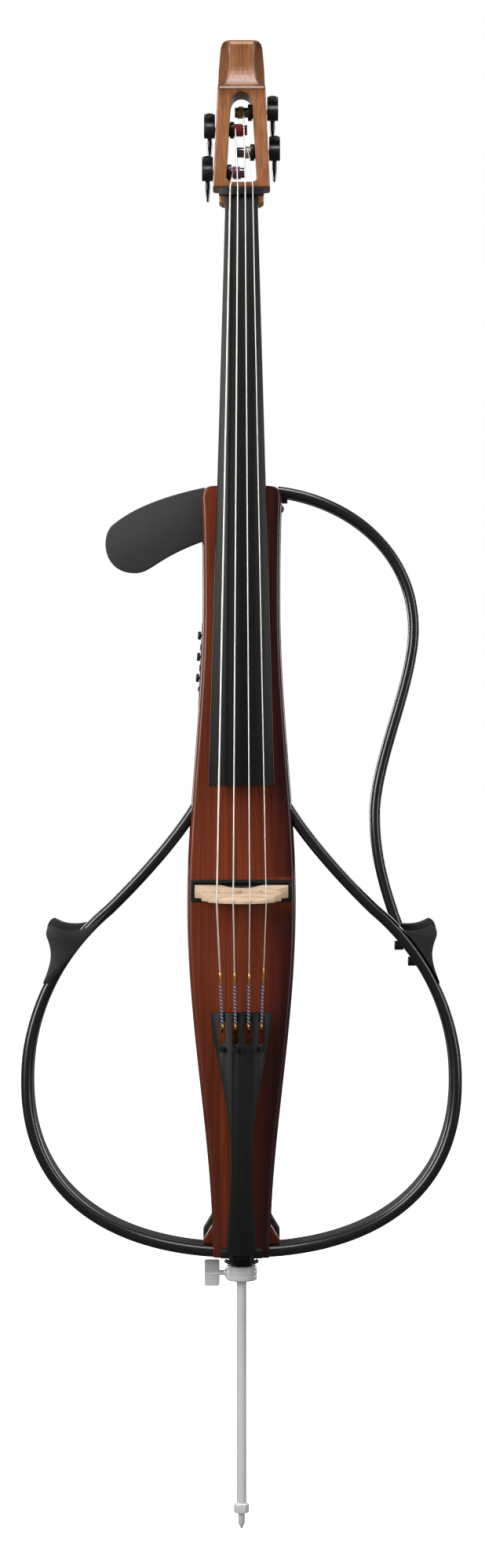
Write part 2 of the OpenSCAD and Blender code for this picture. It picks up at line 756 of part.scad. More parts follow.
// Centre line of the lower frame from the body's upper side round to its foot
lower_path = concat(
    bez([[44, body_wide_z + 95], [66, body_wide_z + 58], [105, body_wide_z + 16], [132.4, body_wide_z - 10.5]], 12),
    tail(bez([[132.4, body_wide_z - 10.5], [174, body_wide_z - 45], [bowl_x, bowl_z + 75], [bowl_x, bowl_z]], 18)),
    tail(bez([[bowl_x, bowl_z], [bowl_x + 2, bowl_z - 117], [128, body_bottom + 10], [22, body_bottom + 5]], 30)));
module band(a, w) {
    n = len(a) - 1;
    polygon(concat(
        [for (i = [0:n]) a[i] + side(a, i) * w],
        [for (i = [n:-1:0]) a[i] - side(a, i) * w]));
}
frame_y = front_y + 4;
module lower_rail() {
    slab(frame_y, frame_y + bead_d)
        band(lower_path, rail_w / 2);
    slab(frame_y + bead_d - 1, frame_y + bead_d + 3)
        band(lower_path, rail_w / 2 - 1.6);
    slab(frame_y + bead_d + 2, frame_y + bead_d + band_d)
        band(lower_path, rail_w / 2 - 0.6);
}
// Pointed corner outside the rail; lift raises its upper edge
module horn_outline(lift) {
    polygon(concat(
        bez([[128, body_wide_z - 6.5], [146, body_wide_z - 24 + lift / 2], [156, body_wide_z - 34 + lift],
            [176, body_wide_z - 31 + lift]], 8),
        tail(bez([[176, body_wide_z - 31 + lift], [182, body_wide_z - 30 + lift], [186, body_wide_z - 27 + lift],
            [189, body_wide_z - 26 + lift]], 4)),
        bez([[192, body_wide_z - 28 + lift], [195, body_wide_z - 30], [196, body_wide_z - 34],
            [194, body_wide_z - 38]], 4),
        tail(bez([[194, body_wide_z - 38], [188.5, body_wide_z - 52], [188, body_wide_z - 60],
            [198, body_wide_z - 84]], 8)),
        [[192, body_wide_z - 84], [160, body_wide_z - 45]]));
}
module horn() {
    slab(frame_y, frame_y + bead_d)
        horn_outline(0);
    slab(frame_y + bead_d - 1, frame_y + bead_d + band_d)
        horn_outline(6);
}
module frame_cut() {
    body_cover();
    slab(-60, 60)
        polygon([[-20, body_bottom + 4], [28, body_bottom + 4], [28, body_bottom - 20], [-20, body_bottom - 20]]);
}
module body_cover() {
    slab(-60, 60)
        body_outline(-0.8);
}
module left_lower_frame() {
    color([0.07, 0.07, 0.07])
        mirror([1, 0, 0])
            difference() {
                union() {
                    lower_rail();
                    horn();
                }
                frame_cut();
                slab(seam_y, -9.9)
                    feet_outline(0);
                foot_block();
            }
}
pin_z = [body_wide_z - 47, body_wide_z - 63];
pin_x0 = [153.5, 167];
pin_x1 = [181, 187];
pin_y = frame_y + bead_d + 10;
module right_lower_frame() {
    color([0.07, 0.07, 0.07])
        difference() {
            lower_rail();
            frame_cut();
            slab(seam_y, -9.9)
                feet_outline(0);
            foot_block();
            for (i = [0:1])
                xcyl(100, pin_y, pin_z[i], 110, 3);
        }
}
module bout_locating_pins() {
    color([0.10, 0.10, 0.10])
        for (i = [0:1]) {
            xcyl(pin_x0[i], pin_y, pin_z[i], pin_x1[i] - pin_x0[i], 3);
            difference() {
                xcyl(pin_x0[i], pin_y, pin_z[i], 9, 4.6);
                slab(-60, 60)
                    band(lower_path, rail_w / 2 - 0.6);
            }
        }
}
module foot_block() {
    difference() {
        slab(-9.9, 16)
            polygon([[20, foot_z - 10], [foot_w / 2, foot_z - 10], [foot_w / 2, foot_z + 12], [29, foot_z + 28],
                [20, foot_z + 28]]);
        body_cover();
    }
}
module frame_foot_blocks() {
    color([0.08, 0.08, 0.08])
        for (s = [0, 1])
            mirror([s, 0, 0])
                foot_block();
}
bout_pin_r = 4;
bout_pin_x = 22;
bout_pin_y = -15;
bout_pin_z = body_top - 12;
bout_path = concat(
    bez([[36, body_top - 5], [105, body_top - 13], [172, body_top - 62], [172, body_top - 142]], 20),
    tail(bez([[172, body_top - 142], [172, body_top - 197], [133.2, body_top - 272], [133.2, body_top - 328]], 14)),
    tail(bez([[133.2, body_top - 328], [133.2, body_top - 367], [142, body_top - 399],
        [156, body_top - 438]], 8)));
module upper_bout() {
    color([0.07, 0.07, 0.07])
        difference() {
            union() {
                slab(frame_y, frame_y + bead_d)
                    band(bout_path, rail_w / 2 - 0.4);
                slab(frame_y + bead_d - 1, frame_y + bead_d + 3)
                    band(bout_path, rail_w / 2 - 1.6);
                slab(frame_y + bead_d + 2, frame_y + bead_d + 12)
                    band(bout_path, rail_w / 2 - 0.8);
                horn();
                xcyl(bout_pin_x + 0.5, bout_pin_y, bout_pin_z, 30, bout_pin_r);
            }
            difference() {
                body_cover();
                xcyl(bout_pin_x, bout_pin_y, bout_pin_z, 30, bout_pin_r);
            }
            slab(-60, 60)
                band(lower_path, rail_w / 2 + 0.4);
            block(100, 170, -60, 60, body_wide_z - 90, body_wide_z - 45);
            for (i = [0:1])
                xcyl(100, pin_y, pin_z[i], pin_x1[i] - 99.5, 3 + run);
        }
}
module arm_plate() {
    z = body_top;
    color([0.16, 0.16, 0.17])
        difference() {
            slab(-31, -23)
                polygon(concat(
                    bez([[-36, z - 1], [-75, z - 9], [-108, z - 21], [-129, z - 39]], 12),
                    tail(bez([[-129, z - 39], [-141, z - 50], [-139, z - 86], [-107, z - 86.5]], 14)),
                    tail(bez([[-107, z - 86.5], [-90, z - 87], [-85, z - 71], [-36, z - 54]], 10))));
            body_cover();
        }
}

// ---- Chest rest ----
chest_r = 6;
chest_z = body_top - 82;
pad_z = body_top - 14;
pad_y = 66;
module chest_rest_arm() {
    color([0.08, 0.08, 0.08]) {
        difference() {
            ycyl(0, -4, chest_z, pad_y + 10, chest_r);
            block(-20, 20, pad_y + 4, pad_y + 20, chest_z - 10, chest_z + 10);
        }
        block(-9, 9, pad_y - 9, pad_y - 3, chest_z - 9, pad_z + 8);
    }
}
module chest_pad() {
    color([0.06, 0.06, 0.06])
        difference() {
            union() {
                xcyl(-33.5, pad_y, pad_z, 67, 10.3);
                for (s = [-1, 1])
                    translate([s * 33.5, pad_y, pad_z])
                        sphere(r = 10.3);
            }
            block(-9, 9, pad_y - 20, pad_y - 3, chest_z - 9, pad_z + 8);
        }
}

// ---- Controls, on the player's side of the body ----
panel_tilt = 2.6;
panel_x = -41.4;
panel_z = body_wide_z + 233;
knob_y = -8;
jack_y = 8;
knob_rise = [31, 9.6, -11.6];
jack_rise = [20, -1, -25];
button_rise = -22.5;
// Local frame of the side panel: x = 0 on its outer face, with -X pointing out of the body
module panel_place() {
    translate([panel_x, 0, panel_z])
        rotate([0, panel_tilt, 0])
            children();
}
module control_panel() {
    color([0.08, 0.08, 0.08])
        panel_place()
            difference() {
                block(0, 3, -19, 17, -43, 43);
                for (z = knob_rise)
                    xcyl(-1, knob_y, z, 6, 1.6 + 0.3);
                xcyl(-1, knob_y, button_rise, 6, 2.2 + 0.3);
                for (i = [0:2])
                    xcyl(-1, jack_y, jack_rise[i], 6, jack_r[i] + 1.3);
            }
}
module knob(i) {
    color([0.05, 0.05, 0.05])
        panel_place() {
            xcyl(-3.8, knob_y, knob_rise[i], 3.4, 4.15);
            xcyl(-1, knob_y, knob_rise[i], 13, 1.6);
        }
}
module power_button() {
    color([0.2, 0.2, 0.2])
        panel_place() {
            xcyl(-1.4, knob_y, button_rise, 8, 2.2);
            xcyl(3.5, knob_y, button_rise, 1.2, 3);
        }
}
jack_r = [1.8, 1.8, 3.25];
jack_len = [14, 14, 29];
jack_out = [1.2, 1.2, 0];
module jack_sockets() {
    color([0.15, 0.15, 0.15])
        panel_place()
            for (i = [0:2])
                difference() {
                    union() {
                        xcyl(-jack_out[i], jack_y, jack_rise[i], jack_out[i] + 3.2, jack_r[i] + 1.3);
                        block(3, jack_len[i] + 2, jack_y - jack_r[i] - 2.5, jack_y + jack_r[i] + 2.5,
                            jack_rise[i] - jack_r[i] - 2.5, jack_rise[i] + jack_r[i] + 2.5);
                    }
                    xcyl(-jack_out[i] - 1, jack_y, jack_rise[i], jack_len[i] + 1, jack_r[i]);
                }
}
module circuit_board() {
    color([0.05, 0.25, 0.12])
        panel_place() {
            difference() {
                block(17.5, 19.1, -17, 15, -36, 40);
                block(17, 20, 2, 14, -31, -19);
            }
            for (z = knob_rise)
                difference() {
                    block(8, 17.5, knob_y - 5, knob_y + 4.5, z - 5, z + 5);
                    xcyl(4, knob_y, z, 9, 1.6 + run);
                }
            block(8, 17.5, knob_y - 4, knob_y + 4, button_rise - 4, button_rise + 4);
        }
}

// ---- Battery ----
module battery_cells() {
    cell_r = 7.25;
    color([0.3, 0.3, 0.32])
        for (s = [-1, 1])
            translate([s * 8, door_y - 9.5, door_z0 + 9.5])
                cylinder(h = 49, r = cell_r);
}
module battery_door() {
    color([0.07, 0.07, 0.07]) {
        difference() {
            block(-door_w / 2, door_w / 2, door_y, door_y + door_t, door_z0 + 1.6, door_z0 + door_h);
            block(-8, 8, door_y + door_t - 1, door_y + 10, door_z0 + door_h - 8, door_z0 + door_h - 4);
        }
        xcyl(-door_w / 2, door_y + 1.6, door_z0 + 1.6, door_w, 1.6);
        xcyl(-26, door_y + 1.6, door_z0 + 1.6, 52, 1.2);
    }
}

body_front_plate();
body_back_shell();
neck_and_pegbox();
fingerboard();
nut();
tail_saddle();
bridge_tray();
bridge_pickup();
bridge();
tailpiece();
tail_cord();
fine_tuner_screw(0);  // fine_tuner_screw_1
fine_tuner_screw(1);  // fine_tuner_screw_2
fine_tuner_screw(2);  // fine_tuner_screw_3
fine_tuner_screw(3);  // fine_tuner_screw_4
cello_string(0);  // string_c
cello_string(1);  // string_g
cello_string(2);  // string_d
cello_string(3);  // string_a
tuner_housing(0);  // tuner_housing_1
tuner_housing(1);  // tuner_housing_2
tuner_housing(2);  // tuner_housing_3
tuner_housing(3);  // tuner_housing_4
tuner_key(0);  // tuner_key_1
tuner_key(1);  // tuner_key_2
tuner_key(2);  // tuner_key_3
tuner_key(3);  // tuner_key_4
tuner_post(0);  // tuner_post_1
tuner_post(1);  // tuner_post_2
tuner_post(2);  // tuner_post_3
tuner_post(3);  // tuner_post_4
tuner_gear(0);  // tuner_gear_1
tuner_gear(1);  // tuner_gear_2
tuner_gear(2);  // tuner_gear_3
tuner_gear(3);  // tuner_gear_4
post_bushings();
endpin_ferrule();
endpin_guide_tube();
endpin_collar();
endpin_thumbscrew();
endpin_rod();
spike_lock_nut();
endpin_spike();
left_lower_frame();
right_lower_frame();
frame_foot_blocks();
upper_bout();
bout_locating_pins();
arm_plate();
chest_rest_arm();
chest_pad();
control_panel();
knob(0);  // volume_knob
knob(1);  // tone_knob
knob(2);  // reverb_knob
power_button();
jack_sockets();
circuit_board();
battery_cells();
battery_door();
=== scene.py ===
"""The looks of a frame cello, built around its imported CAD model.

Depths run along Y with the strings towards -Y, and Z runs up from the tip of the endpin.
Outlines are written in millimetres and turned into metres by MM.
"""

import json
import math

import bmesh
import bpy
import numpy as np
from mathutils import Matrix, Vector


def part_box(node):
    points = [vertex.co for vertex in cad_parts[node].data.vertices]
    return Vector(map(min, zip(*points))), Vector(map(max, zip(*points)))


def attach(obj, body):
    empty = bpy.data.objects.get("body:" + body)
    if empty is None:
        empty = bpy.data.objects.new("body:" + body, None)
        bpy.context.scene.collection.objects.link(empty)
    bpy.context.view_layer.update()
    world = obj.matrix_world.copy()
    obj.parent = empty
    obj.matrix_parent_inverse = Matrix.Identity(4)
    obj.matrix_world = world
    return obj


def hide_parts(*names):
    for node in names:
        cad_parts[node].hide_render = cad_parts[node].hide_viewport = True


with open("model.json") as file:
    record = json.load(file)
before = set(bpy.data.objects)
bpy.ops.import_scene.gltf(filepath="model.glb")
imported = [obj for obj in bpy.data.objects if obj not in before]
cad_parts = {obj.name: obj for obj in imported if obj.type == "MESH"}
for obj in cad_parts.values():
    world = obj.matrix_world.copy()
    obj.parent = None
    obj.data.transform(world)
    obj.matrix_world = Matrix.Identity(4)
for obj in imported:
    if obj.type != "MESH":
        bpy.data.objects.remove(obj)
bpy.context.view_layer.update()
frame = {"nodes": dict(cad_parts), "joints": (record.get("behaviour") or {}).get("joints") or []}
NODES = frame["nodes"]
ROOT = "cello_body"
MM = 0.001

# Places read from the frame or set off from them, in millimetres
FRONT_LOW, FRONT_HIGH = (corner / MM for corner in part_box("body_front_plate"))
BODY_Z0, BODY_Z1 = FRONT_LOW.z, FRONT_HIGH.z
FRONT_Y, SEAM_Y = FRONT_LOW.y, FRONT_HIGH.y
BODY_HALF = FRONT_HIGH.x
WIDE_Z = BODY_Z0 + 357
NUT_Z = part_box("nut")[0].z / MM
HEAD_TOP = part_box("neck_and_pegbox")[1].z / MM
LEDGE_Z = NUT_Z + 110
CHEEK_Z = NUT_Z + 8
BRIDGE_Z = WIDE_Z - 1
TAIL_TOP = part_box("tailpiece")[1].z / MM
BEAD_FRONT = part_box("left_lower_frame")[0].y / MM
RAIL_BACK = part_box("left_lower_frame")[1].y / MM
BOUT_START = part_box("upper_bout")[0].x / MM - 0.1


# ---- Curves and meshes ----
def lerp(a, b, t):
    return a + (b - a) * t


def smooth_step(t):
    t = min(max(t, 0.0), 1.0)
    return t * t * (3 - 2 * t)


def bez(a, b, c, d, n):
    """n + 1 points on the cubic curve from a to d."""
    points = np.array([a, b, c, d], float)
    t = np.linspace(0, 1, n + 1)[:, None]
    weights = np.hstack([(1 - t) ** 3, 3 * t * (1 - t) ** 2, 3 * t**2 * (1 - t), t**3])
    return [tuple(p) for p in weights @ points]


def chain(*curves):
    """Curves joined end to end, without the repeated points."""
    points = list(curves[0])
    for curve in curves[1:]:
        points += curve[1:]
    return points


def at_height(outline, z):
    """The first coordinate of an outline of (value, z) pairs at height z."""
    return float(np.interp(z, [p[1] for p in outline], [p[0] for p in outline]))


def mirrored(points):
    return [(-p[0], *p[1:]) for p in points]


def mesh_piece(name, vertices, faces):
    """A new object from vertices in millimetres."""
    mesh = bpy.data.meshes.new(name)
    mesh.from_pydata([Vector(v) * MM for v in vertices], [], faces)
    piece = bpy.data.objects.new(name, mesh)
    bpy.context.scene.collection.objects.link(piece)
    tidy = bmesh.new()
    tidy.from_mesh(mesh)
    bmesh.ops.remove_doubles(tidy, verts=tidy.verts, dist=1e-6)
    bmesh.ops.recalc_face_normals(tidy, faces=tidy.faces)
    tidy.to_mesh(mesh)
    tidy.free()
    return piece


def loft(name, loops, ring=False):
    """A closed skin through loops of equal length, with flat ends or joined into a ring."""
    count = len(loops[0])
    vertices = [p for loop in loops for p in loop]
    faces = []
    for i in range(len(loops) if ring else len(loops) - 1):
        for k in range(count):
            m = (k + 1) % count
            a, b = i * count, (i + 1) % len(loops) * count
            faces.append((a + k, a + m, b + m, b + k))
    if not ring:
        faces.append(tuple(range(count)))
        faces.append(tuple(range(len(vertices) - count, len(vertices))))
    return mesh_piece(name, vertices, faces)


def plate(name, outline, y0, y1):
    """An outline of (x, z) points made into a plate between two depths."""
    return loft(name, [[(x, y, z) for x, z in outline] for y in (y0, y1)])


def tube(name, points, radii, sides=12):
    """A round wire through points, with one radius or one for each point."""
    points = [Vector(p) for p in points]
    if isinstance(radii, (int, float)):
        radii = [radii] * len(points)
    loops = []
    across = None
    for i, point in enumerate(points):
        along = (points[min(i + 1, len(points) - 1)] - points[max(i - 1, 0)]).normalized()
        if across is None:
            across = along.cross(Vector((0.3, 0.2, 1) if abs(along.z) < 0.9 else (1, 0, 0))).normalized()
        across = (across - along * across.dot(along)).normalized()
        up = along.cross(across)
        turns = [2 * math.pi * k / sides for k in range(sides)]
        loops.append([point + radii[i] * (math.cos(a) * across + math.sin(a) * up) for a in turns])
    return loft(name, loops)


def lathe(name, profile, place, sides=64):
    """A closed profile of (radius, height) pairs turned about the local Z axis of place."""
    turns = [2 * math.pi * k / sides for k in range(sides)]
    loops = [[place @ Vector((r * math.cos(a), r * math.sin(a), h)) for a in turns] for r, h in profile]
    return loft(name, loops, ring=True)


def sweep(name, path, section):
    """A section of (offset, y) points carried along a path of (x, z) points."""
    loops = []
    for i, (x, z) in enumerate(path):
        before, after = path[max(i - 1, 0)], path[min(i + 1, len(path) - 1)]
        length = math.hypot(after[0] - before[0], after[1] - before[1])
        normal = ((after[1] - before[1]) / length, -(after[0] - before[0]) / length)
        loops.append([(x + normal[0] * n, y, z + normal[1] * n) for n, y in section])
    return loft(name, loops)


def block(name, low, high):
    x0, y0, z0 = low
    x1, y1, z1 = high
    return loft(name, [[(x0, y0, z), (x1, y0, z), (x1, y1, z), (x0, y1, z)] for z in (z0, z1)])


def apply_modifiers(piece):
    """Bakes the modifiers into the piece's own mesh."""
    bpy.context.view_layer.update()
    seen = piece.evaluated_get(bpy.context.evaluated_depsgraph_get())
    mesh = bpy.data.meshes.new_from_object(seen)
    piece.modifiers.clear()
    piece.data = mesh


def cut(piece, cutter):
    """Takes the cutter's volume out of the piece."""
    modifier = piece.modifiers.new("cut", "BOOLEAN")
    modifier.object = cutter
    modifier.operation = "DIFFERENCE"
    modifier.solver = "EXACT"
    apply_modifiers(piece)
    bpy.data.objects.remove(cutter)


def soften(piece, width, angle=38):
    """Rounds the sharp edges of a piece by a width in millimetres."""
    modifier = piece.modifiers.new("rounding", "BEVEL")
    modifier.width = width * MM
    modifier.segments = 2
    modifier.limit_method = "ANGLE"
    modifier.angle_limit = math.radians(angle)
    modifier.miter_outer = "MITER_ARC"


def shade(piece, angle=32):
    """Smooth shading, with edges sharper than angle left crisp."""
    mesh = piece.data
    mesh.polygons.foreach_set("use_smooth", [True] * len(mesh.polygons))
    mesh.set_sharp_from_angle(angle=math.radians(angle))


def finish_piece(piece, look, body=ROOT, replaced=(), rounding=0.0, angle=32):
    """Rounds, shades and paints a piece, and ties it to its body."""
    if rounding:
        soften(piece, rounding)
        apply_modifiers(piece)
    shade(piece, angle)
    piece.data.materials.clear()
    piece.data.materials.append(look)
    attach(piece, body)
    if replaced:
        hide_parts(*replaced)


def smooth_group(angle=32):
    """A modifier group that shades faces smooth, with edges sharper than angle left crisp."""
    group = bpy.data.node_groups.new("smooth_faces", "GeometryNodeTree")
    for way in ("INPUT", "OUTPUT"):
        group.interface.new_socket("Geometry", in_out=way, socket_type="NodeSocketGeometry")
    start, end = group.nodes.new("NodeGroupInput"), group.nodes.new("NodeGroupOutput")
    turn = group.nodes.new("GeometryNodeInputMeshEdgeAngle")
    gentle = group.nodes.new("FunctionNodeCompare")
    gentle.data_type, gentle.operation = "FLOAT", "LESS_THAN"
    gentle.inputs[1].default_value = math.radians(angle)
    faces, edges = (group.nodes.new("GeometryNodeSetShadeSmooth") for _ in range(2))
    edges.domain = "EDGE"
    for a, b in ((start.outputs[0], faces.inputs["Geometry"]),
                 (faces.outputs[0], edges.inputs["Geometry"]),
                 (turn.outputs["Unsigned Angle"], gentle.inputs[0]),
                 (gentle.outputs[0], edges.inputs["Shade Smooth"]),
                 (edges.outputs[0], end.inputs[0])):
        group.links.new(a, b)
    return group


SMOOTH = smooth_group()


def keep_node(name, look, rounding=0.0):
    """A CAD node that stays, with its finish and smooth shading, and rounded edges if a width is given."""
    node = NODES[name]
    node.data.materials.clear()
    node.data.materials.append(look)
    weld = node.modifiers.new("weld", "WELD")
    weld.merge_threshold = 1e-6
    if rounding:
        flat = node.modifiers.new("flat_faces", "DECIMATE")
        flat.decimate_type = "DISSOLVE"
        flat.angle_limit = math.radians(0.6)
        soften(node, rounding)
    node.modifiers.new("smooth", "NODES").node_group = SMOOTH


# ---- Materials ----
class Look:
    """A material with short calls for the nodes that feed its shader."""

    def __init__(self, name, color, roughness, **sockets):
        self.material = bpy.data.materials.new(name)
        self.material.use_nodes = True
        self.nodes = self.material.node_tree.nodes
        self.links = self.material.node_tree.links
        self.shader = self.nodes["Principled BSDF"]
        self.shader.inputs["Base Color"].default_value = (*color, 1)
        self.shader.inputs["Roughness"].default_value = roughness
        for socket, value in sockets.items():
            self.shader.inputs[socket.replace("_", " ")].default_value = value
        self.place = self.nodes.new("ShaderNodeTexCoord").outputs["Object"]

    def node(self, kind, settings=None, **inputs):
        made = self.nodes.new("ShaderNode" + kind)
        for key, value in (settings or {}).items():
            setattr(made, key, value)
        for key, value in inputs.items():
            self.join(value, made.inputs[key.replace("_", " ")])
        return made

    def join(self, value, socket):
        if isinstance(value, bpy.types.NodeSocket):
            self.links.new(value, socket)
        else:
            socket.default_value = value

    def stretched(self, scale):
        """The object's own coordinates, scaled on each axis, in units per metre."""
        return self.node("Mapping", Vector=self.place, Scale=scale).outputs["Vector"]

    def noise(self, scale, detail=4.0, rough=0.5):
        """Noise between 0 and 1, with its own scale on each axis."""
        inputs = {"Vector": self.stretched(scale), "Scale": 1.0, "Detail": detail, "Roughness": rough}
        return self.node("TexNoise", **inputs).outputs["Fac"]

    def ramp(self, value, *stops):
        """A colour ramp of (place, colour) stops."""
        made = self.node("ValToRGB", Fac=value)
        elements = made.color_ramp.elements
        for i, (place, color) in enumerate(stops):
            element = elements[i] if i < 2 else elements.new(place)
            element.position = place
            element.color = (*color, 1)
        return made.outputs["Color"]

    def mix(self, share, a, b, blend="MIX"):
        made = self.node("Mix", {"data_type": "RGBA", "blend_type": blend})
        sockets = [s for s in made.inputs if s.enabled]
        for value, socket in zip((share, a, b), sockets):
            self.join(value if isinstance(value, (float, bpy.types.NodeSocket)) else (*value, 1), socket)
        return next(s for s in made.outputs if s.enabled)

    def spread(self, value, low, high):
        """A number between 0 and 1 spread over low to high."""
        return self.node("MapRange", Value=value, To_Min=low, To_Max=high).outputs["Result"]

    def color(self, output):
        self.links.new(output, self.shader.inputs["Base Color"])
        return self

    def rough(self, output):
        self.links.new(output, self.shader.inputs["Roughness"])
        return self

    def bump(self, height, distance, strength=1.0):
        """Bump from a height between 0 and 1, with its depth in metres."""
        made = self.node("Bump", Height=height, Distance=distance, Strength=strength)
        self.links.new(made.outputs["Normal"], self.shader.inputs["Normal"])
        return self


def burst_wood(name, middle, edge, seam):
    """Lacquered wood with a sunburst stain and painted shade, both read from the mesh's attribute."""
    look = Look(name, middle, 0.36, Coat_Weight=0.14, Coat_Roughness=0.2, Specular_IOR_Level=0.3)
    grain = look.noise((520, 520, 7), 6, 0.62)
    bands = look.noise((95, 95, 2.2), 3, 0.5)
    burst = look.node("Attribute", {"attribute_name": "burst"}).outputs["Fac"]
    wavy = look.node("Math", {"operation": "MULTIPLY_ADD"})
    for socket, value in zip(wavy.inputs, (bands, 0.34, -0.17)):
        look.join(value, socket)
    edge_share = look.node("Math", {"operation": "ADD", "use_clamp": True})
    look.join(burst, edge_share.inputs[0])
    look.join(wavy.outputs[0], edge_share.inputs[1])
    # the sunburst stain, with the painted shade from the same attribute
    stain_and_shade_tint = look.ramp(edge_share.outputs[0], (0.0, middle), (0.55, edge), (1.0, seam))
    dark_lines = look.ramp(grain, (0.36, (0.50, 0.42, 0.40)), (0.60, (1.10, 1.08, 1.05)))
    look.color(look.mix(0.8, stain_and_shade_tint, dark_lines, "MULTIPLY"))
    look.rough(look.spread(grain, 0.36, 0.26))
    return look.bump(grain, 0.00004, 0.35).material


def plain_wood(name, dark, light, roughness, coat, along=(380, 380, 11)):
    """Wood with a straight grain, soft colour bands, and painted shade where the mesh's attribute is high.
    """
    look = Look(name, light, roughness, Coat_Weight=coat, Coat_Roughness=0.2)
    grain = look.noise(along, 7, 0.6)
    bands = look.noise(tuple(v * 0.16 for v in along), 3, 0.5)
    fine = look.ramp(grain, (0.32, dark), (0.66, light))
    shaded = look.ramp(bands, (0.3, (0.78, 0.74, 0.70)), (0.7, (1.08, 1.06, 1.04)))
    burst = look.node("Attribute", {"attribute_name": "burst"}).outputs["Fac"]
    # painted shade read from the mesh's attribute, darkening the wood
    stain_and_shade_tint = look.ramp(burst, (0.0, (1, 1, 1)), (1.0, (0.36, 0.30, 0.26)))
    look.color(look.mix(1.0, look.mix(0.75, fine, shaded, "MULTIPLY"), stain_and_shade_tint, "MULTIPLY"))
    look.rough(look.spread(grain, roughness + 0.08, roughness - 0.06))
    return look.bump(grain, 0.00005, 0.4).material


def moulded(name, color, roughness, grit=2600, depth=0.00002, **sockets):
    """Moulded or painted surface with a fine grit and a faint cloudiness."""
    look = Look(name, color, roughness, **sockets)
    speckle = look.noise((grit, grit, grit), 3, 0.55)
    clouds = look.noise((26, 26, 12), 3, 0.5)
    deep = tuple(c * 0.80 for c in color)
    pale = tuple(c * 1.22 + 0.0006 for c in color)
    look.color(look.mix(look.spread(clouds, 0.15, 0.85), deep, pale))
    look.rough(look.spread(speckle, roughness - 0.05, roughness + 0.07))
    return look.bump(speckle, depth, 0.5).material


def metal(name, color, roughness, brush=(900, 900, 900), wear=0.06, metallic=1.0):
    """Metal with fine tool marks and slightly uneven polish."""
    look = Look(name, color, roughness, Metallic=metallic)
    marks = look.noise(brush, 4, 0.6)
    smudge = look.noise((45, 45, 30), 3, 0.5)
    deep = tuple(c * 0.86 for c in color)
    look.color(look.mix(look.spread(smudge, 0.1, 0.9), deep, color))
    look.rough(look.spread(marks, max(roughness - wear, 0.03), roughness + wear))
    return look.bump(marks, 0.00001, 0.25).material


def wound(name, color, roughness, half_pitch):
    """Flat-wound string with fine rings, from half the distance between them in millimetres."""
    look = Look(name, color, roughness, Metallic=0.85)
    settings = {"wave_type": "BANDS", "bands_direction": "Z", "wave_profile": "SIN"}
    scale = 1 / (half_pitch * MM * 20 / math.pi)
    rings = look.node("TexWave", settings, Vector=look.stretched((1, 1, 1)), Scale=scale)
    tone = look.noise((300, 300, 60), 3, 0.5)
    deep = tuple(c * 0.8 for c in color)
    look.color(look.mix(look.spread(tone, 0.0, 1.0), deep, color))
    return look.bump(rings.outputs["Fac"], 0.00003, 0.5).material


def silk(name, color):
    """Thread with a matte sheen and short fibres."""
    look = Look(name, color, 0.7, Sheen_Weight=0.4)
    fibres = look.noise((4200, 4200, 900), 3, 0.6)
    deep = tuple(c * 0.6 for c in color)
    look.color(look.mix(look.spread(fibres, 0.0, 1.0), deep, color))
    return look.bump(fibres, 0.00005, 0.6).material


def circuit(name):
    """Green board with paler green runs."""
    look = Look(name, (0.01, 0.08, 0.03), 0.4)
    settings = {"feature": "F1", "distance": "CHEBYCHEV"}
    cells = look.node("TexVoronoi", settings, Vector=look.stretched((300, 300, 300)), Scale=1.0)
    runs = look.ramp(cells.outputs["Distance"], (0.40, (0.008, 0.07, 0.028)), (0.47, (0.05, 0.20, 0.07)))
    return look.color(runs).material


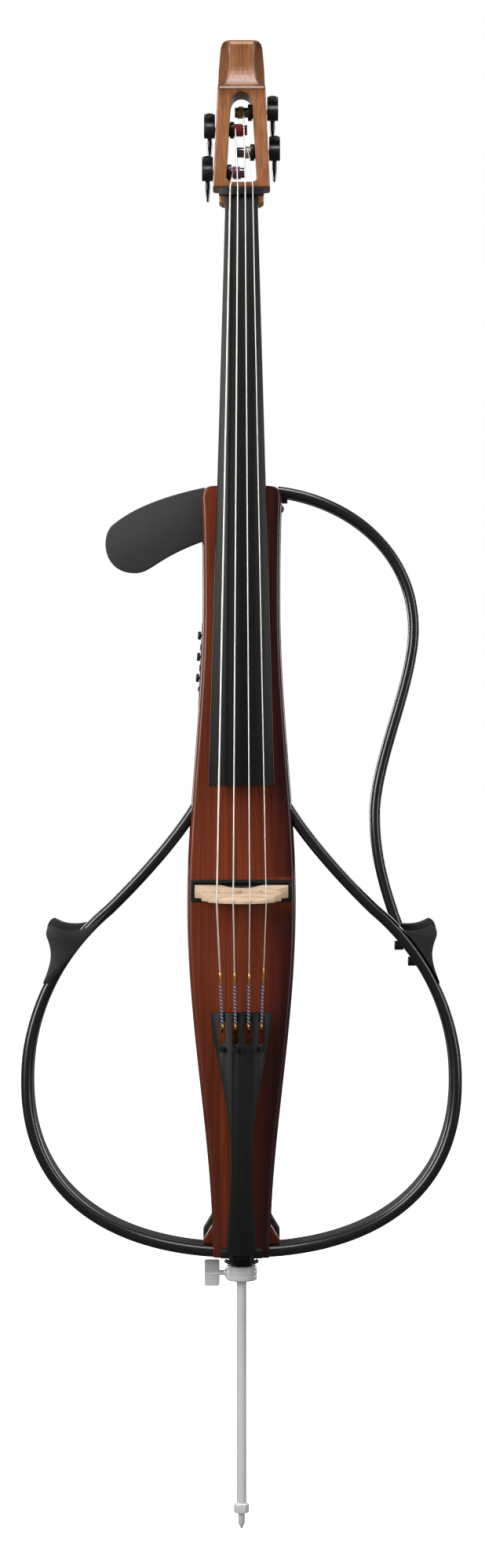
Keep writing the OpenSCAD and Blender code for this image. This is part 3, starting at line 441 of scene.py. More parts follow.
LOOKS = {
    "front_wood": burst_wood("front_wood", (0.185, 0.036, 0.011), (0.084, 0.014, 0.0055),
                             (0.030, 0.005, 0.004)),
    "back_wood": burst_wood("back_wood", (0.105, 0.022, 0.008), (0.050, 0.009, 0.005),
                            (0.022, 0.004, 0.003)),
    "neck_wood": plain_wood("neck_wood", (0.155, 0.052, 0.016), (0.314, 0.126, 0.042), 0.34, 0.22),
    "maple": plain_wood("maple", (0.52, 0.36, 0.23), (0.76, 0.59, 0.42), 0.52, 0.0, (60, 700, 700)),
    "ebony": moulded("ebony", (0.0062, 0.0064, 0.0064), 0.42, 1800, 0.00001, Specular_IOR_Level=0.22),
    "black_plastic": moulded("black_plastic", (0.008, 0.0082, 0.0084), 0.44, Specular_IOR_Level=0.3),
    "tail_black": moulded("tail_black", (0.0070, 0.0072, 0.0074), 0.46, 2200, 0.00001,
                          Specular_IOR_Level=0.22),
    "dark_plastic": moulded("dark_plastic", (0.030, 0.030, 0.031), 0.38),
    "cord": moulded("cord", (0.006, 0.006, 0.006), 0.50, 3000, 0.00004),
    "frame_black": moulded("frame_black", (0.0065, 0.0065, 0.0068), 0.27, 2400, 0.000008, Coat_Weight=0.2),
    "frame_rubber": moulded("frame_rubber", (0.013, 0.013, 0.0135), 0.66, 1500, 0.00006,
                            Specular_IOR_Level=0.22),
    "horn_black": moulded("horn_black", (0.014, 0.014, 0.0145), 0.42, 2600, 0.00001),
    "charcoal": moulded("charcoal", (0.026, 0.026, 0.0275), 0.60, 2000, 0.00003, Specular_IOR_Level=0.25),
    "pad_rubber": moulded("pad_rubber", (0.009, 0.009, 0.009), 0.58, 1700, 0.00006),
    "black_metal": moulded("black_metal", (0.010, 0.010, 0.010), 0.33, 1600, 0.00001, Metallic=0.3),
    "hardware": moulded("hardware", (0.012, 0.012, 0.0125), 0.34, 2600, 0.00001, Metallic=0.25),
    "ear": moulded("ear", (0.006, 0.006, 0.0062), 0.16, 1200, 0.000004, Coat_Weight=0.3),
    "black_chrome": metal("black_chrome", (0.20, 0.19, 0.185), 0.16),
    "steel": metal("steel", (0.93, 0.925, 0.91), 0.22, (1400, 1400, 60), metallic=0.30),
    "aluminium": metal("aluminium", (0.66, 0.66, 0.68), 0.30, (1200, 1200, 40)),
    "brass": metal("brass", (0.78, 0.55, 0.20), 0.28),
    "gold": metal("gold", (0.90, 0.60, 0.17), 0.24),
    "string": wound("string", (0.84, 0.80, 0.74), 0.34, 0.5),
    "silk_blue": silk("silk_blue", (0.030, 0.032, 0.16)),
    "silk_white": silk("silk_white", (0.72, 0.70, 0.66)),
    "silk_red": silk("silk_red", (0.62, 0.012, 0.020)),
    "silk_purple": silk("silk_purple", (0.33, 0.045, 0.30)),
    "silk_gold": silk("silk_gold", (0.62, 0.42, 0.10)),
    "circuit": circuit("circuit"),
    "cells": moulded("cells", (0.05, 0.05, 0.055), 0.35, 900, 0.00001, Metallic=0.4),
}


# ---- Wooden body ----
TOP = BODY_Z1 - BODY_Z0
BODY_EDGE = chain(
    bez((28, 0), (28, 122), (BODY_HALF, 222), (BODY_HALF, 357), 26),
    bez((BODY_HALF, 357), (BODY_HALF, 442), (38, TOP - 217), (38, TOP - 117), 22),
    bez((38, TOP - 117), (38, TOP - 77), (38.5, TOP - 35), (40, TOP - 12), 8),
    bez((40, TOP - 12), (40, TOP - 4), (35, TOP), (29, TOP), 8),
)
BACK_EDGE = chain(
    bez((4, 0), (20, 0), (25, 20), (27, 60), 10),
    bez((27, 60), (32, 160), (38, 237), (38, 357), 14),
    bez((38, 357), (38, 507), (26, TOP - 200), (20, TOP - 90), 14),
    bez((20, TOP - 90), (16, TOP - 40), (8, TOP - 12), (-9, TOP), 10),
)


def corner(x, y, r, start, n=6):
    """A quarter circle about (x, y), from the angle start in degrees."""
    turns = [math.radians(start + 90 * k / n) for k in range(n + 1)]
    return [(x + r * math.cos(a), y + r * math.sin(a)) for a in turns]


def write_stain_and_shade(piece, share):
    """Writes the depth of stain and painted shade at each vertex, from 0 to 1, as the point attribute that
    the wood materials read.
    """
    values = [share(v.co / MM) for v in piece.data.vertices]
    layer = piece.data.attributes.new("burst", "FLOAT", "POINT")
    layer.data.foreach_set("value", values)


def body_share(p):
    """Stain depth, dark at the long edges and the lower end, plus painted shade that darkens the right side.
    """
    half = max(at_height(BODY_EDGE, p.z - BODY_Z0), 1)
    across = abs(p.x) / half
    ends = max(0, 1 - (p.z - BODY_Z0) / 330) * 0.52
    # painted shade: a darker right side, standing in for the light falling from the left
    side = 0.44 * p.x / half
    return min(1.0, max(0.0, smooth_step((across - 0.30) / 0.85) * 0.66 + ends * 0.6 + side + 0.05))


def tray_hole():
    low, high = (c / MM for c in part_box("bridge_tray"))
    return block("tray_hole", (low.x, low.y - 9, low.z), (high.x, high.y, high.z))


def front_plate():
    r = 4.5
    loops = []
    for x, z in BODY_EDGE:
        left = corner(-x + r, FRONT_Y + r, r, 180)
        right = corner(x - r, FRONT_Y + r, r, 270)
        middle = [(lerp(-x + r, x - r, k / 22), FRONT_Y) for k in range(1, 22)]
        ring = [(-x, SEAM_Y), *left, *middle, *right, (x, SEAM_Y)]
        loops.append([(px, py, BODY_Z0 + z) for px, py in ring])
    piece = loft("front_wood_plate", loops)
    soften(piece, 1.6, 60)
    apply_modifiers(piece)
    # sunburst stain, with painted shade towards the right
    write_stain_and_shade(piece, body_share)
    cut(piece, tray_hole())
    finish_piece(piece, LOOKS["front_wood"], replaced=["body_front_plate"])


def panel_pocket():
    low, high = (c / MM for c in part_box("control_panel"))
    return block("panel_pocket", (low.x - 8, low.y, low.z), (low.x + 18, high.y, high.z))


def door_recess():
    low, high = (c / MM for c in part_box("battery_door"))
    gap = 0.4
    return block("door_recess", (-23 - gap, low.y - gap, low.z - gap), (23 + gap, high.y + 20, high.z + gap))


def battery_room():
    low, high = (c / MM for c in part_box("battery_cells"))
    return block("battery_room", (-20, low.y - 2, low.z - 2), (20, high.y + 30, high.z + 2))


def back_shell():
    overhang = 0.8
    steps = sorted({z for _, z in BODY_EDGE} | {z for _, z in BACK_EDGE})
    loops = []
    for z in steps:
        x = at_height(BODY_EDGE, z) + overhang
        y = at_height(BACK_EDGE, z)
        r = min(15.0, max((y - SEAM_Y) * 0.45, 1.0), x * 0.5)
        right = corner(x - r, y - r, r, 0, 8)
        left = corner(-x + r, y - r, r, 90, 8)
        crown = [(lerp(x - r, -x + r, k / 12), y) for k in range(1, 12)]
        ring = [(x, SEAM_Y + 0.2), *right, *crown, *left, (-x, SEAM_Y + 0.2)]
        loops.append([(px, py, BODY_Z0 + z) for px, py in ring])
    piece = loft("back_wood_shell", loops)
    soften(piece, 1.4, 50)
    apply_modifiers(piece)
    # darker than the front, and carrying the body's painted shade towards the right
    write_stain_and_shade(piece, lambda p: min(1.0, 0.25 + 0.5 * body_share(p)))
    for cutter in (panel_pocket(), door_recess(), battery_room()):
        cut(piece, cutter)
    finish_piece(piece, LOOKS["back_wood"], replaced=["body_back_shell"])


def feet():
    """Flared wooden feet above the rail ends, in front of the frame's foot blocks."""
    for side, name in ((1, "right"), (-1, "left")):
        z = BODY_Z0 + 12
        outline = [(20, z), (38.5, z), (38.5, z + 4), (29, z + 20), (20, z + 20)]
        outline = outline if side > 0 else mirrored(outline)
        piece = plate(f"wooden_foot_{name}", outline, SEAM_Y, -10)
        write_stain_and_shade(piece, lambda p: 0.45)
        finish_piece(piece, LOOKS["front_wood"], rounding=1.1)


# ---- Head and neck ----
HEAD_HALF = [
    (16, NUT_Z - 24), (16, NUT_Z - 9), (19.5, NUT_Z - 8), (22.1, NUT_Z - 6), (22.5, NUT_Z - 2),
    (22.5, CHEEK_Z - 0.1), (28.0, CHEEK_Z), (28.6, CHEEK_Z + 1), (24.2, LEDGE_Z - 1), (23.6, LEDGE_Z + 2),
    (22.9, LEDGE_Z + 22), (21.4, HEAD_TOP - 11), (20.9, HEAD_TOP - 7), (19.6, HEAD_TOP - 3.6),
    (17.2, HEAD_TOP - 1.3), (13.5, HEAD_TOP - 0.2), (12.0, HEAD_TOP),
]
HEAD_FRONT = chain(
    [(-38.5, NUT_Z - 24), (-41, NUT_Z - 1), (-37, CHEEK_Z - 0.5), (-37.5, CHEEK_Z), (-40, CHEEK_Z + 1.5),
     (-38.5, CHEEK_Z + 18), (-33.5, CHEEK_Z + 55), (-29.6, LEDGE_Z - 9), (-29.8, LEDGE_Z - 5),
     (-31.2, LEDGE_Z - 1), (-30.2, LEDGE_Z + 1), (-26.5, LEDGE_Z + 2.6)],
    bez((-26.5, LEDGE_Z + 2.6), (-19, LEDGE_Z + 9), (-14.5, LEDGE_Z + 26), (-17, HEAD_TOP - 6), 10),
    [(-17, HEAD_TOP - 6), (-16, HEAD_TOP - 3), (-13, HEAD_TOP - 0.8), (-9, HEAD_TOP)],
)
HEAD_BACK = chain(
    [(-19, NUT_Z - 24), (-19, NUT_Z - 15)],
    bez((-19, NUT_Z - 15), (-4, NUT_Z + 20), (-1, NUT_Z + 45), (2, NUT_Z + 75), 10),
    bez((2, NUT_Z + 75), (4, LEDGE_Z - 10), (13, LEDGE_Z + 10), (12, HEAD_TOP - 12), 8),
    [(12, HEAD_TOP - 12), (11, HEAD_TOP - 5), (7.5, HEAD_TOP - 1), (4, HEAD_TOP)],
)
STRIPE_HALF = [
    (17.8, LEDGE_Z + 2), (16.6, LEDGE_Z + 5), (13.0, LEDGE_Z + 13), (11.2, LEDGE_Z + 22),
    (10.8, LEDGE_Z + 32), (11.6, HEAD_TOP - 7), (12.8, HEAD_TOP - 2), (11.0, HEAD_TOP),
]


def head_ring(z):
    """One section of the head: a raised stripe between two hollow facets above the ledge."""
    half = at_height(HEAD_HALF, z)
    front = at_height(HEAD_FRONT, z)
    back = max(at_height(HEAD_BACK, z), front + 3)
    stripe = min(at_height(STRIPE_HALF, z), half - 1.5) if z > LEDGE_Z + 2 else half - 4.5
    carved = smooth_step((z - LEDGE_Z - 2) / 8) * smooth_step((HEAD_TOP + 1 - z) / 9)
    deep = min(13.5 * carved, (back - front) * 0.6)
    rounding = 2.6 * (1 - carved)
    side = []
    for k in range(9):
        t = k / 8
        x = lerp(half, stripe, t)
        scoop = (1 - t) ** 0.62 * deep
        soft = rounding * (1 - math.sqrt(max(0.0, 1 - (1 - min(1.0, t * 2.2)) ** 2)))
        side.append((x, front + scoop + soft))
    middle = [(lerp(stripe, -stripe, k / 10), front) for k in range(1, 10)]
    r = min(4.5, (back - front) * 0.3)
    back_right = [(half - r + px, py) for px, py in corner(0, back - r, r, 0, 4)][::-1]
    ring = side + middle + mirrored(side[::-1]) + mirrored(back_right[::-1]) + back_right
    return [(px, py, z) for px, py in ring]


def head_painted_shade(p):
    """Depth of painted shade on the head: darker on the side facets, at the ledge and just above it, and
    behind the pegbox's front.
    """
    if p.z < LEDGE_Z - 3:
        return 0.12 + 0.5 * smooth_step((p.y + 26) / 8)
    # painted shadow along the ledge
    if p.z < LEDGE_Z + 3.2:
        return 0.75
    facet = smooth_step((abs(p.x) - at_height(STRIPE_HALF, p.z)) / 1.2) * smooth_step((HEAD_TOP - p.z) / 4)
    return 0.52 * facet + 0.3 * smooth_step((LEDGE_Z + 16 - p.z) / 12)


def pegbox_hole():
    low, high = NUT_Z + 14, NUT_Z + 106
    half = chain(
        bez((10.3, low), (13.3, low), (15.3, low + 2), (15.3, low + 5), 6),
        [(15.3, low + 5), (11.2, high - 14)],
        bez((11.2, high - 14), (11.0, high - 5), (6, high), (0, high), 10),
    )
    return plate("pegbox_hole", half + mirrored(half[::-1])[1:], -70, 50)


def head():
    marks = {z for line in (HEAD_HALF, HEAD_FRONT, HEAD_BACK, STRIPE_HALF) for _, z in line}
    marks |= set(np.linspace(CHEEK_Z, LEDGE_Z, 26)) | set(np.linspace(LEDGE_Z + 2, HEAD_TOP, 30))
    rows = sorted(marks)
    rows = [z for i, z in enumerate(rows) if i == 0 or z - rows[i - 1] > 0.05]
    piece = loft("head", [head_ring(z) for z in rows])
    cut(piece, pegbox_hole())
    finish_piece(piece, LOOKS["neck_wood"], rounding=0.9, angle=28)
    # the head's attribute holds only painted shade
    write_stain_and_shade(piece, head_painted_shade)


def neck():
    """Round-backed neck, from inside the body up to the head."""
    loops = []
    for k in range(25):
        z = lerp(BODY_Z1 - 57, NUT_Z - 9, k / 24)
        r = lerp(22, 15.6, max(0.0, (z - BODY_Z1) / (NUT_Z - BODY_Z1)))
        top = lerp(-47.5, -36.6, (z - BODY_Z1 + 240) / (NUT_Z - BODY_Z1 + 240))
        middle_y = lerp(-40, -33, max(0.0, (z - BODY_Z1) / (NUT_Z - BODY_Z1)))
        turns = [math.pi * j / 20 for j in range(21)]
        arch = [(r * math.cos(a), max(middle_y + r * math.sin(a), top)) for a in turns]
        ring = [(r * 0.98, top), *arch, (-r * 0.98, top)]
        loops.append([(px, py, z) for px, py in ring])
    piece = loft("neck", loops)
    finish_piece(piece, LOOKS["neck_wood"])
    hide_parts("neck_and_pegbox")


# ---- Side frames ----
BEAD = 5.75
FRAME_GAP = 0.4
BAND_Y = BEAD_FRONT + 13.5
BOWL_X = 214.25
LOWER_PATH = chain(
    bez((44, WIDE_Z + 95), (66, WIDE_Z + 58), (105, WIDE_Z + 16), (132.4, WIDE_Z - 10.5), 24),
    bez((132.4, WIDE_Z - 10.5), (174, WIDE_Z - 45), (BOWL_X, BODY_Z0 + 252), (BOWL_X, BODY_Z0 + 177), 34),
    bez((BOWL_X, BODY_Z0 + 177), (BOWL_X + 2, BODY_Z0 + 60), (128, BODY_Z0 + 10), (22, BODY_Z0 + 5), 64),
)
BOUT_PATH = chain(
    bez((36, BODY_Z1 - 5), (105, BODY_Z1 - 13), (172, BODY_Z1 - 62), (172, BODY_Z1 - 142), 44),
    bez((172, BODY_Z1 - 142), (172, BODY_Z1 - 197), (133.2, BODY_Z1 - 272), (133.2, BODY_Z1 - 328), 34),
    bez((133.2, BODY_Z1 - 328), (133.2, BODY_Z1 - 367), (142, BODY_Z1 - 399), (156, BODY_Z1 - 438), 22),
)


def rail_section(bead, band, back):
    """A rounded front bead, a groove and a flat band behind it."""
    y0 = BEAD_FRONT
    steps, depth = 14, 6
    turns = [math.pi * k / steps for k in range(steps + 1)]
    crown = [(-bead * math.cos(a), y0 + depth - depth * math.sin(a) ** 0.9) for a in turns]
    right = [(bead, y0 + 11.6), (bead - 0.9, y0 + 12.8), (bead - 2.0, y0 + 13.2), (bead - 2.0, y0 + 14.8),
             (band - 0.5, y0 + 15.2), (band, y0 + 15.9), (band, back - 1.6), (band - 0.5, back - 0.4),
             (band - 1.6, back)]
    return crown + right + mirrored(right[::-1])


def horn_outline(lift):
    """The pointed corner outside the lower rail; lift raises its upper edge."""
    w = WIDE_Z
    return chain(
        bez((128, w - 6.5), (146, w - 24 + lift / 2), (156, w - 34 + lift), (176, w - 31 + lift), 16),
        bez((176, w - 31 + lift), (182, w - 30 + lift), (186, w - 27 + lift), (189, w - 26 + lift), 5),
        bez((189, w - 26 + lift), (194, w - 27 + lift), (196, w - 32), (194, w - 38), 8),
        bez((194, w - 38), (188.5, w - 52), (188, w - 60), (198, w - 84), 12),
        [(198, w - 84), (192, w - 84), (160, w - 45)],
    )


def rail_cutter():
    """The lower rail with a gap round it, deep enough to cut through a horn or a rail."""
    half, reach = BEAD + FRAME_GAP, 60
    section = [(-half, -reach), (half, -reach), (half, reach), (-half, reach)]
    return sweep("rail_cutter", LOWER_PATH, section)


def horn(side, name, body):
    """Front face and raised rubber back of a horn."""
    spans = (("face", 0, BEAD_FRONT, BEAD_FRONT + 12.6, "horn_black", 1.5),
             ("back", 6, BEAD_FRONT + 13.4, RAIL_BACK, "frame_rubber", 1.3))
    for part, lift, y0, y1, look, rounding in spans:
        outline = horn_outline(lift)
        piece = plate(f"{name}_horn_{part}", outline if side > 0 else mirrored(outline), y0, y1)
        if side > 0:
            cut(piece, rail_cutter())
        finish_piece(piece, LOOKS[look], body, rounding=rounding)


def rail_piece(name, points, section, body, replaced):
    """A rail with a satin front bead and a matte band behind it."""
    piece = sweep(name, points, section)
    if body == "bout":
        cut(piece, rail_cutter())
    finish_piece(piece, LOOKS["frame_black"], body, replaced)
    piece.data.materials.append(LOOKS["frame_rubber"])
    for face in piece.data.polygons:
        if face.center.y / MM > BAND_Y:
            face.material_index = 1


def lower_frames():
    section = rail_section(BEAD, 5.15, RAIL_BACK)
    path = [p for p in LOWER_PATH if p[0] > 29.5]
    path.append((26.5, BODY_Z0 + 5.4))
    for side, name in ((1, "right"), (-1, "left")):
        points = path if side > 0 else mirrored(path)
        rail_piece(f"{name}_rail", points, section, ROOT, [f"{name}_lower_frame"])
    horn(-1, "left", ROOT)


def upper_bout():
    section = rail_section(BEAD - 0.4, 4.95, BEAD_FRONT + 25)
    rail_piece("bout_rail", [p for p in BOUT_PATH if p[0] > BOUT_START], section, "bout", ["upper_bout"])
    pin = tube("bout_tenon", [(22.5, -15, BODY_Z1 - 12), (46, -15, BODY_Z1 - 12)], 4, 32)
    finish_piece(pin, LOOKS["black_metal"], "bout", rounding=0.6)
    horn(1, "right", "bout")


def arm_plate():
    z = BODY_Z1
    outline = chain(
        bez((-36, z - 1), (-75, z - 9), (-108, z - 21), (-129, z - 39), 24),
        bez((-129, z - 39), (-141, z - 50), (-139, z - 86), (-107, z - 86.5), 24),
        bez((-107, z - 86.5), (-90, z - 87), (-85, z - 71), (-36, z - 54), 20),
    )
    low, high = (c.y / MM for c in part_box("arm_plate"))
    piece = plate("arm_plate_cover", outline, low, high)
    finish_piece(piece, LOOKS["charcoal"], replaced=["arm_plate"], rounding=1.6)


# ---- Strings ----
NUT_SPREAD, NUT_ARCH, NUT_CREST = 22.5, 60, -47
BRIDGE_SPREAD, BRIDGE_ARCH, BRIDGE_CREST = 48.5, 62, -80
TAIL_ARCH, SLOT_EDGE = 48, 9
END_SPAN = 2.2
POST_RADIUS = 5
COIL_STEPS = 20
STRINGS = ("string_c", "string_g", "string_d", "string_a")
RADII = (0.85, 0.70, 0.58, 0.48)
POST_OF = (4, 2, 1, 3)
WRAPS = {4: "silk_purple", 2: "silk_red", 1: "silk_gold", 3: "string"}
WRAP_SPAN = {4: (-8.6, -0.9), 2: (-7.9, 1.2), 1: (1.3, -3.7), 3: (8.6, 3.1)}
SLEEVE_Z = (564.0, 564.0, 563.0, 568.0)
WRAP_THICK = (0.85, 0.76, 0.62, 0.58)
SILK_Z0, SILK_Z1 = 512.0, 553.0
SPIRAL_PITCH, SPIRAL_STEPS = 3.5, 14


def string_points(i):
    """String i from its post over the nut and bridge to its slot, with both ends read off its CAD wire."""
    x_nut = NUT_SPREAD * (i / 3 - 0.5)
    x_bridge = BRIDGE_SPREAD * (i / 3 - 0.5)
    nut_y = NUT_CREST + NUT_ARCH - math.sqrt(NUT_ARCH**2 - x_nut**2) + 0.2
    bridge_y = BRIDGE_CREST + BRIDGE_ARCH - math.sqrt(BRIDGE_ARCH**2 - x_bridge**2) - RADII[i]
    wire = NODES[STRINGS[i]].data.vertices
    top = max(wire, key=lambda v: v.co.z).co.z / MM
    ends = [v.co / MM for v in wire if v.co.z / MM > top - END_SPAN]
    post = sum(ends, Vector()) / len(ends)
    low = min(wire, key=lambda v: v.co.z).co.z / MM
    ends = [v.co / MM for v in wire if v.co.z / MM < low + END_SPAN]
    slot = sum(ends, Vector()) / len(ends)
    nut = [Vector((x_nut, nut_y, NUT_Z + 7.5)), Vector((x_nut, nut_y, NUT_Z + 0.3))]
    bridge = [Vector((x_bridge, bridge_y, BRIDGE_Z + 1)), Vector((x_bridge, bridge_y, BRIDGE_Z - 2.5))]
    return [post, *nut, *bridge, slot]


def along_tail(i, z):
    """The point of string i at height z, between the bridge and the edge of its slot."""
    start, slot = string_points(i)[4:]
    edge_z = TAIL_TOP - SLOT_EDGE
    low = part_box("tailpiece")[0].z / MM
    arch = TAIL_ARCH - math.sqrt(TAIL_ARCH**2 - slot.x**2)
    surface = lerp(-50, -64, (edge_z - low) / (TAIL_TOP - low)) + arch
    end = Vector((slot.x, surface - 1.9, edge_z))
    return start.lerp(end, (start.z - z) / (start.z - end.z))


def cello_string(i):
    points = string_points(i)
    wire = tube(f"{STRINGS[i]}_wire", [*points[:5], along_tail(i, SILK_Z0)], RADII[i], 14)
    finish_piece(wire, LOOKS["string"], replaced=[STRINGS[i]], angle=60)
    core = RADII[i] * 0.45 + 0.75
    sleeve_z = SLEEVE_Z[i]
    sleeve_points = [along_tail(i, lerp(sleeve_z, SILK_Z1, t)) for t in (0, 0.06, 0.5, 1)]
    sleeve = tube(f"{STRINGS[i]}_sleeve", sleeve_points, [core * 0.75, core * 0.95, core, core], 16)
    finish_piece(sleeve, LOOKS["gold"], angle=60)
    silk_points = [along_tail(i, lerp(SILK_Z1, SILK_Z0, t)) for t in (0, 0.02, 0.98, 1)]
    thread = tube(f"{STRINGS[i]}_silk", silk_points, [core * 0.8, core, core, core * 0.8], 16)
    finish_piece(thread, LOOKS["silk_blue"], angle=60)
    coil_points = []
    steps = int((SILK_Z1 - SILK_Z0) / SPIRAL_PITCH * SPIRAL_STEPS)
    for k in range(steps + 1):
        middle = along_tail(i, lerp(SILK_Z1 - 0.5, SILK_Z0 + 0.5, k / steps))
        turn = 2 * math.pi * k / SPIRAL_STEPS
        coil_points.append(middle + Vector((math.cos(turn), math.sin(turn), 0)) * core * 0.96)
    coil = tube(f"{STRINGS[i]}_spiral", coil_points, 0.27, 8)
    finish_piece(coil, LOOKS["silk_white"], angle=60)
    slot = points[5]
    tip = [along_tail(i, SILK_Z0 + 0.3), along_tail(i, SILK_Z0 - 3),
           slot + Vector((0, 0, 1.2)), slot + Vector((0, 3.2, -1.5))]
    loop_end = tube(f"{STRINGS[i]}_end", tip, [core * 0.9, core * 1.05, core * 1.15, core * 0.7], 14)
    finish_piece(loop_end, LOOKS["gold"], rounding=0.3, angle=60)


def post_wrap(i):
    """The turns of a string round its post."""
    number = POST_OF[i]
    low, high = (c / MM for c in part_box(f"tuner_post_{number}"))
    y, z = (low.y + high.y) / 2, (low.z + high.z) / 2
    start_x, end_x = WRAP_SPAN[number]
    thick = WRAP_THICK[i]
    count = round(abs(end_x - start_x) / (2.05 * thick)) * COIL_STEPS
    radius = POST_RADIUS + thick
    points = []
    for k in range(count + 1):
        turn = -math.pi / 2 + 2 * math.pi * k / COIL_STEPS
        x = lerp(start_x, end_x, k / count)
        points.append((x, y + radius * math.sin(turn), z + radius * math.cos(turn)))
    coil = tube(f"post_wrap_{number}", points, thick, 8)
    finish_piece(coil, LOOKS[WRAPS[number]], f"tuner_{number}_post", angle=60)


def tail_cords():
    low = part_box("tail_cord")[0] / MM
    for side, name in ((1, "right"), (-1, "left")):
        bends = [((9, -45.6, BODY_Z0 + 16), (9.2, -45.4, BODY_Z0 + 8), (10.2, -45.2, BODY_Z0 - 1.6),
                  (11.4, -40.8, BODY_Z0 - 3.4)),
                 ((11.4, -40.8, BODY_Z0 - 3.4), (12.4, -35, BODY_Z0 - 4.8), (13.4, -16, BODY_Z0 - 7),
                  (15.4, -5, low.z + 2.4))]
        route = [(side * x, y, z) for x, y, z in chain(*(bez(*bend, 12) for bend in bends))]
        piece = tube(f"tail_cord_{name}", route, 2.1, 20)
        finish_piece(piece, LOOKS["cord"], angle=60)
        if side > 0:
            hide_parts("tail_cord")


# ---- Endpin ----
def endpin_parts():
    axis = Matrix.Identity(4)
    low, high = (c.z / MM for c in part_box("endpin_collar"))
    profile = [(5.1, low), (14.2, low), (15.2, low + 0.7), (15.5, low + 1.3), (15.5, low + 4.2),
               (15.0, low + 4.6), (15.0, low + 5.1), (15.5, low + 5.5), (15.5, low + 9.3),
               (15.0, low + 9.7), (15.0, low + 10.2), (15.5, low + 10.6), (15.5, high - 1.3),
               (15.2, high - 0.7), (14.2, high), (5.1, high)]
    collar = lathe("endpin_clamp", profile, axis, 96)
    finish_piece(collar, LOOKS["steel"], replaced=["endpin_collar"], angle=24)
    boss_place = Matrix.Translation((0, 0, (low + high) / 2)) @ Matrix.Rotation(-math.pi / 2, 4, "Y")
    boss_profile = [(4.4, 13), (4.4, 16.2), (4.0, 17.0), (2.8, 17.0), (2.8, 13)]
    boss = lathe("clamp_boss", boss_profile, boss_place, 40)
    finish_piece(boss, LOOKS["steel"], angle=24)
    keep_node("endpin_thumbscrew", LOOKS["steel"], 0.7)
    keep_node("endpin_rod", LOOKS["steel"])
    keep_node("spike_lock_nut", LOOKS["steel"], 0.25)
    keep_node("endpin_spike", LOOKS["steel"])
    keep_node("endpin_ferrule", LOOKS["black_plastic"], 0.5)
    keep_node("endpin_guide_tube", LOOKS["aluminium"])


# ---- Chest pad and controls ----
def chest_pad():
    """A soft round pad with rounded ends and a shallow seam along its front and back."""
    low, high = (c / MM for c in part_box("chest_pad"))
    middle = (low + high) / 2
    half, radius = (high.x - low.x) / 2, (high.z - low.z) / 2
    loops = []
    stations = 48
    for k in range(1, stations):
        t = -1 + 2 * k / stations
        x = middle.x + half * math.sin(t * math.pi / 2)
        reach = max(0.0, 1 - abs(math.sin(t * math.pi / 2)) ** 3.4) ** 0.5
        ring = []
        for j in range(40):
            a = 2 * math.pi * j / 40
            seam = 1 - 0.05 * math.exp(-(math.sin(a) / 0.10) ** 2)
            r = radius * reach * seam
            ring.append((x, middle.y + r * math.cos(a), middle.z + r * math.sin(a)))
        loops.append(ring)
    piece = loft("chest_pad_foam", loops)
    finish_piece(piece, LOOKS["pad_rubber"], "chest_rest", ["chest_pad"], angle=60)


def knob_piece(name, body):
    """A small knurled knob on the body's left edge."""
    low, high = (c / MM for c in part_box(name))
    tilt = math.radians(2.6)
    middle = Vector((low.x + 2, (low.y + high.y) / 2, (low.z + high.z) / 2))
    out = Vector((-math.cos(tilt), 0, math.sin(tilt)))
    place = Matrix.Translation(middle) @ out.to_track_quat("Z", "Y").to_matrix().to_4x4()
    radius, ribs = 4.15, 24
    loops = []
    for r, h in ((1.6, -10), (1.6, -1.4), (radius - 0.3, -1.4), (radius, -1.1), (radius, 1.0),
                 (radius - 0.35, 1.6), (radius - 0.9, 1.75), (0.6, 1.75)):
        ring = []
        for k in range(ribs * 4):
            a = 2 * math.pi * k / (ribs * 4)
            rib = 0.16 * max(0.0, math.cos(a * ribs)) if radius - 0.1 < r else 0.0
            ring.append(place @ Vector(((r - rib) * math.cos(a), (r - rib) * math.sin(a), h)))
        loops.append(ring)
    piece = loft(f"{name}_cap", loops)
    finish_piece(piece, LOOKS["black_plastic"], body, [name])


def carried_nodes():
    """CAD nodes whose shape is right, with their finish."""
    for i in range(1, 5):
        keep_node(f"tuner_housing_{i}", LOOKS["hardware"], 0.8)
        keep_node(f"tuner_post_{i}", LOOKS["black_chrome"], 0.25)
        keep_node(f"tuner_gear_{i}", LOOKS["brass"])
        keep_node(f"fine_tuner_screw_{i}", LOOKS["black_metal"], 0.25)
    rounded = (("post_bushings", "hardware", 0.4), ("fingerboard", "ebony", 0.9), ("nut", "ebony", 0.5),
               ("tail_saddle", "ebony", 0.8), ("bridge_tray", "black_plastic", 0.6),
               ("bridge_pickup", "black_chrome", 0.3), ("bridge", "maple", 0.45),
               ("tailpiece", "tail_black", 1.0), ("frame_foot_blocks", "frame_rubber", 1.0),
               ("bout_locating_pins", "black_metal", 0.5), ("chest_rest_arm", "black_metal", 0.7),
               ("control_panel", "black_plastic", 0.4), ("power_button", "dark_plastic", 0.3),
               ("jack_sockets", "dark_plastic", 0.3), ("battery_door", "black_plastic", 0.5))
    for name, look, rounding in rounded:
        keep_node(name, LOOKS[look], rounding)
    keep_node("circuit_board", LOOKS["circuit"])
    keep_node("battery_cells", LOOKS["cells"])


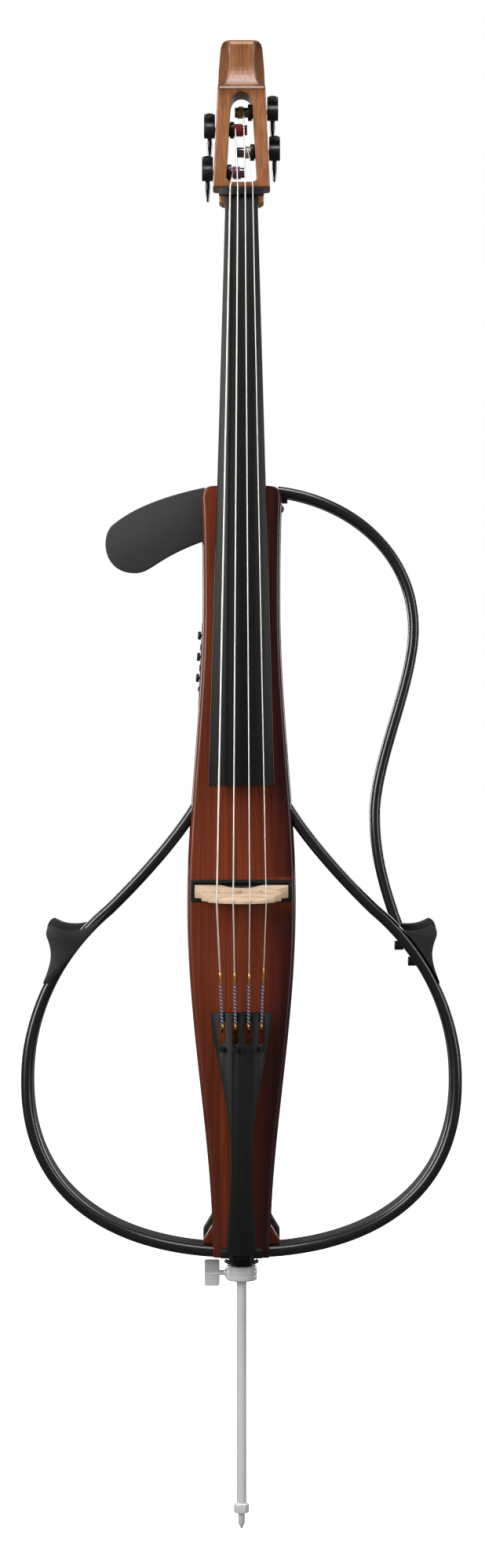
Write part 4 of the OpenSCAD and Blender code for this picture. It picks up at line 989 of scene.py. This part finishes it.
def tuner_ear(number):
    """A tuning key: its ear, thin at the tip, its shaft and the thread of its worm."""
    name = f"tuner_key_{number}"
    joint = next(j for j in frame["joints"] if j["name"] == f"tuner_{number}_key_turn")
    start, down = Vector(joint["pos_m"]) / MM, Vector(joint["axis"]).normalized()
    across = Vector((1, 0, 0))
    flat = down.cross(across)
    stations = ((8.8, 3.6, 3.6), (12.0, 3.6, 3.6), (13.2, 2.4, 2.8), (15.0, 2.6, 4.4), (18.0, 3.1, 6.8),
                (23.0, 2.8, 7.7), (28.0, 2.2, 7.6), (32.0, 1.8, 6.2), (34.2, 1.4, 3.9), (35.0, 0.8, 1.5))
    loops = []
    for reach, thick, wide in stations:
        ring = []
        for k in range(28):
            a = 2 * math.pi * k / 28
            c, s = math.cos(a), math.sin(a)
            x = thick * math.copysign(abs(c) ** 0.8, c)
            ring.append(start + down * reach + across * x + flat * wide * s)
        loops.append(ring)
    ear = loft(f"{name}_ear", loops)
    ear.modifiers.new("smooth", "SUBSURF").levels = 1
    apply_modifiers(ear)
    finish_piece(ear, LOOKS["ear"], f"tuner_{number}_key", angle=50)
    shaft = tube(f"{name}_worm_shaft", [start - down * 10, start + down * 9.4], 2, 24)
    finish_piece(shaft, LOOKS["black_chrome"], f"tuner_{number}_key", [name])
    worm = []
    steps = 4 * COIL_STEPS
    for k in range(steps + 1):
        a = 2 * math.pi * k / COIL_STEPS
        along = start + down * (-5 + 9.2 * k / steps)
        worm.append(along + (across * math.cos(a) + flat * math.sin(a)) * 2.5)
    thread = tube(f"{name}_thread", worm, 0.75, 8)
    finish_piece(thread, LOOKS["black_chrome"], f"tuner_{number}_key", angle=60)


# ---- Studio ----
def camera():
    """A level camera in front of the strings, at about half the cello's height."""
    made = bpy.data.cameras.new("camera")
    made.lens = 70.2
    made.sensor_width = 36
    made.clip_end = 30
    view = bpy.data.objects.new("camera", made)
    view.location = (0.001, -3.080, 0.750)
    view.rotation_euler = (math.pi / 2, 0, 0)
    bpy.context.scene.collection.objects.link(view)
    bpy.context.scene.camera = view


def area_light(name, place, aim, size, power):
    made = bpy.data.lights.new(name, "AREA")
    made.shape = "RECTANGLE"
    made.size, made.size_y = size
    made.energy = power
    light = bpy.data.objects.new(name, made)
    light.location = place
    light.visible_camera = False
    light.rotation_euler = (Vector(aim) - Vector(place)).to_track_quat("-Z", "Y").to_euler()
    bpy.context.scene.collection.objects.link(light)


def studio():
    """A wide pale floor under a white surround, and soft lights."""
    reach = 60000
    corners = [(-1, -1, 0), (1, -1, 0), (1, 1, 0), (-1, 1, 0)]
    floor = mesh_piece("studio_floor", corners, [(0, 1, 2, 3)])
    floor.scale = (reach, reach, 1)
    look = Look("studio_white", (0.92, 0.92, 0.92), 0.9, Emission_Color=(1, 1, 1, 1), Emission_Strength=1.0)
    floor.data.materials.append(look.material)
    floor.visible_diffuse = False
    floor.visible_glossy = False
    world = bpy.data.worlds.new("studio_air")
    world.use_nodes = True
    nodes, links = world.node_tree.nodes, world.node_tree.links
    air = nodes["Background"]
    air.inputs["Color"].default_value = (1, 1, 1, 1)
    air.inputs["Strength"].default_value = 0.12
    backdrop = nodes.new("ShaderNodeBackground")
    seen = nodes.new("ShaderNodeLightPath")
    blend = nodes.new("ShaderNodeMixShader")
    links.new(seen.outputs["Is Camera Ray"], blend.inputs[0])
    links.new(air.outputs[0], blend.inputs[1])
    links.new(backdrop.outputs[0], blend.inputs[2])
    links.new(blend.outputs[0], nodes["World Output"].inputs["Surface"])
    backdrop.inputs["Color"].default_value = (1, 1, 1, 1)
    bpy.context.scene.world = world
    area_light("key_left", (-2.1, -1.9, 1.7), (0, 0, 0.75), (0.9, 2.4), 88)
    area_light("fill_right", (2.3, -1.5, 1.3), (0, 0, 0.7), (0.8, 2.2), 32)
    area_light("top", (0.2, -0.9, 3.3), (0, 0, 0.9), (1.4, 1.4), 52)
    area_light("back_left", (-1.6, 1.9, 1.5), (0, 0, 0.8), (0.7, 2.0), 40)
    area_light("back_right", (1.6, 1.9, 1.5), (0, 0, 0.8), (0.7, 2.0), 32)
    bpy.context.scene.view_settings.view_transform = "Standard"


camera()
front_plate()
back_shell()
feet()
head()
neck()
lower_frames()
upper_bout()
arm_plate()
for index in range(4):
    cello_string(index)
    post_wrap(index)
    tuner_ear(index + 1)
tail_cords()
endpin_parts()
chest_pad()
for control in ("volume", "tone", "reverb"):
    knob_piece(f"{control}_knob", f"{control}_control")
carried_nodes()
studio()
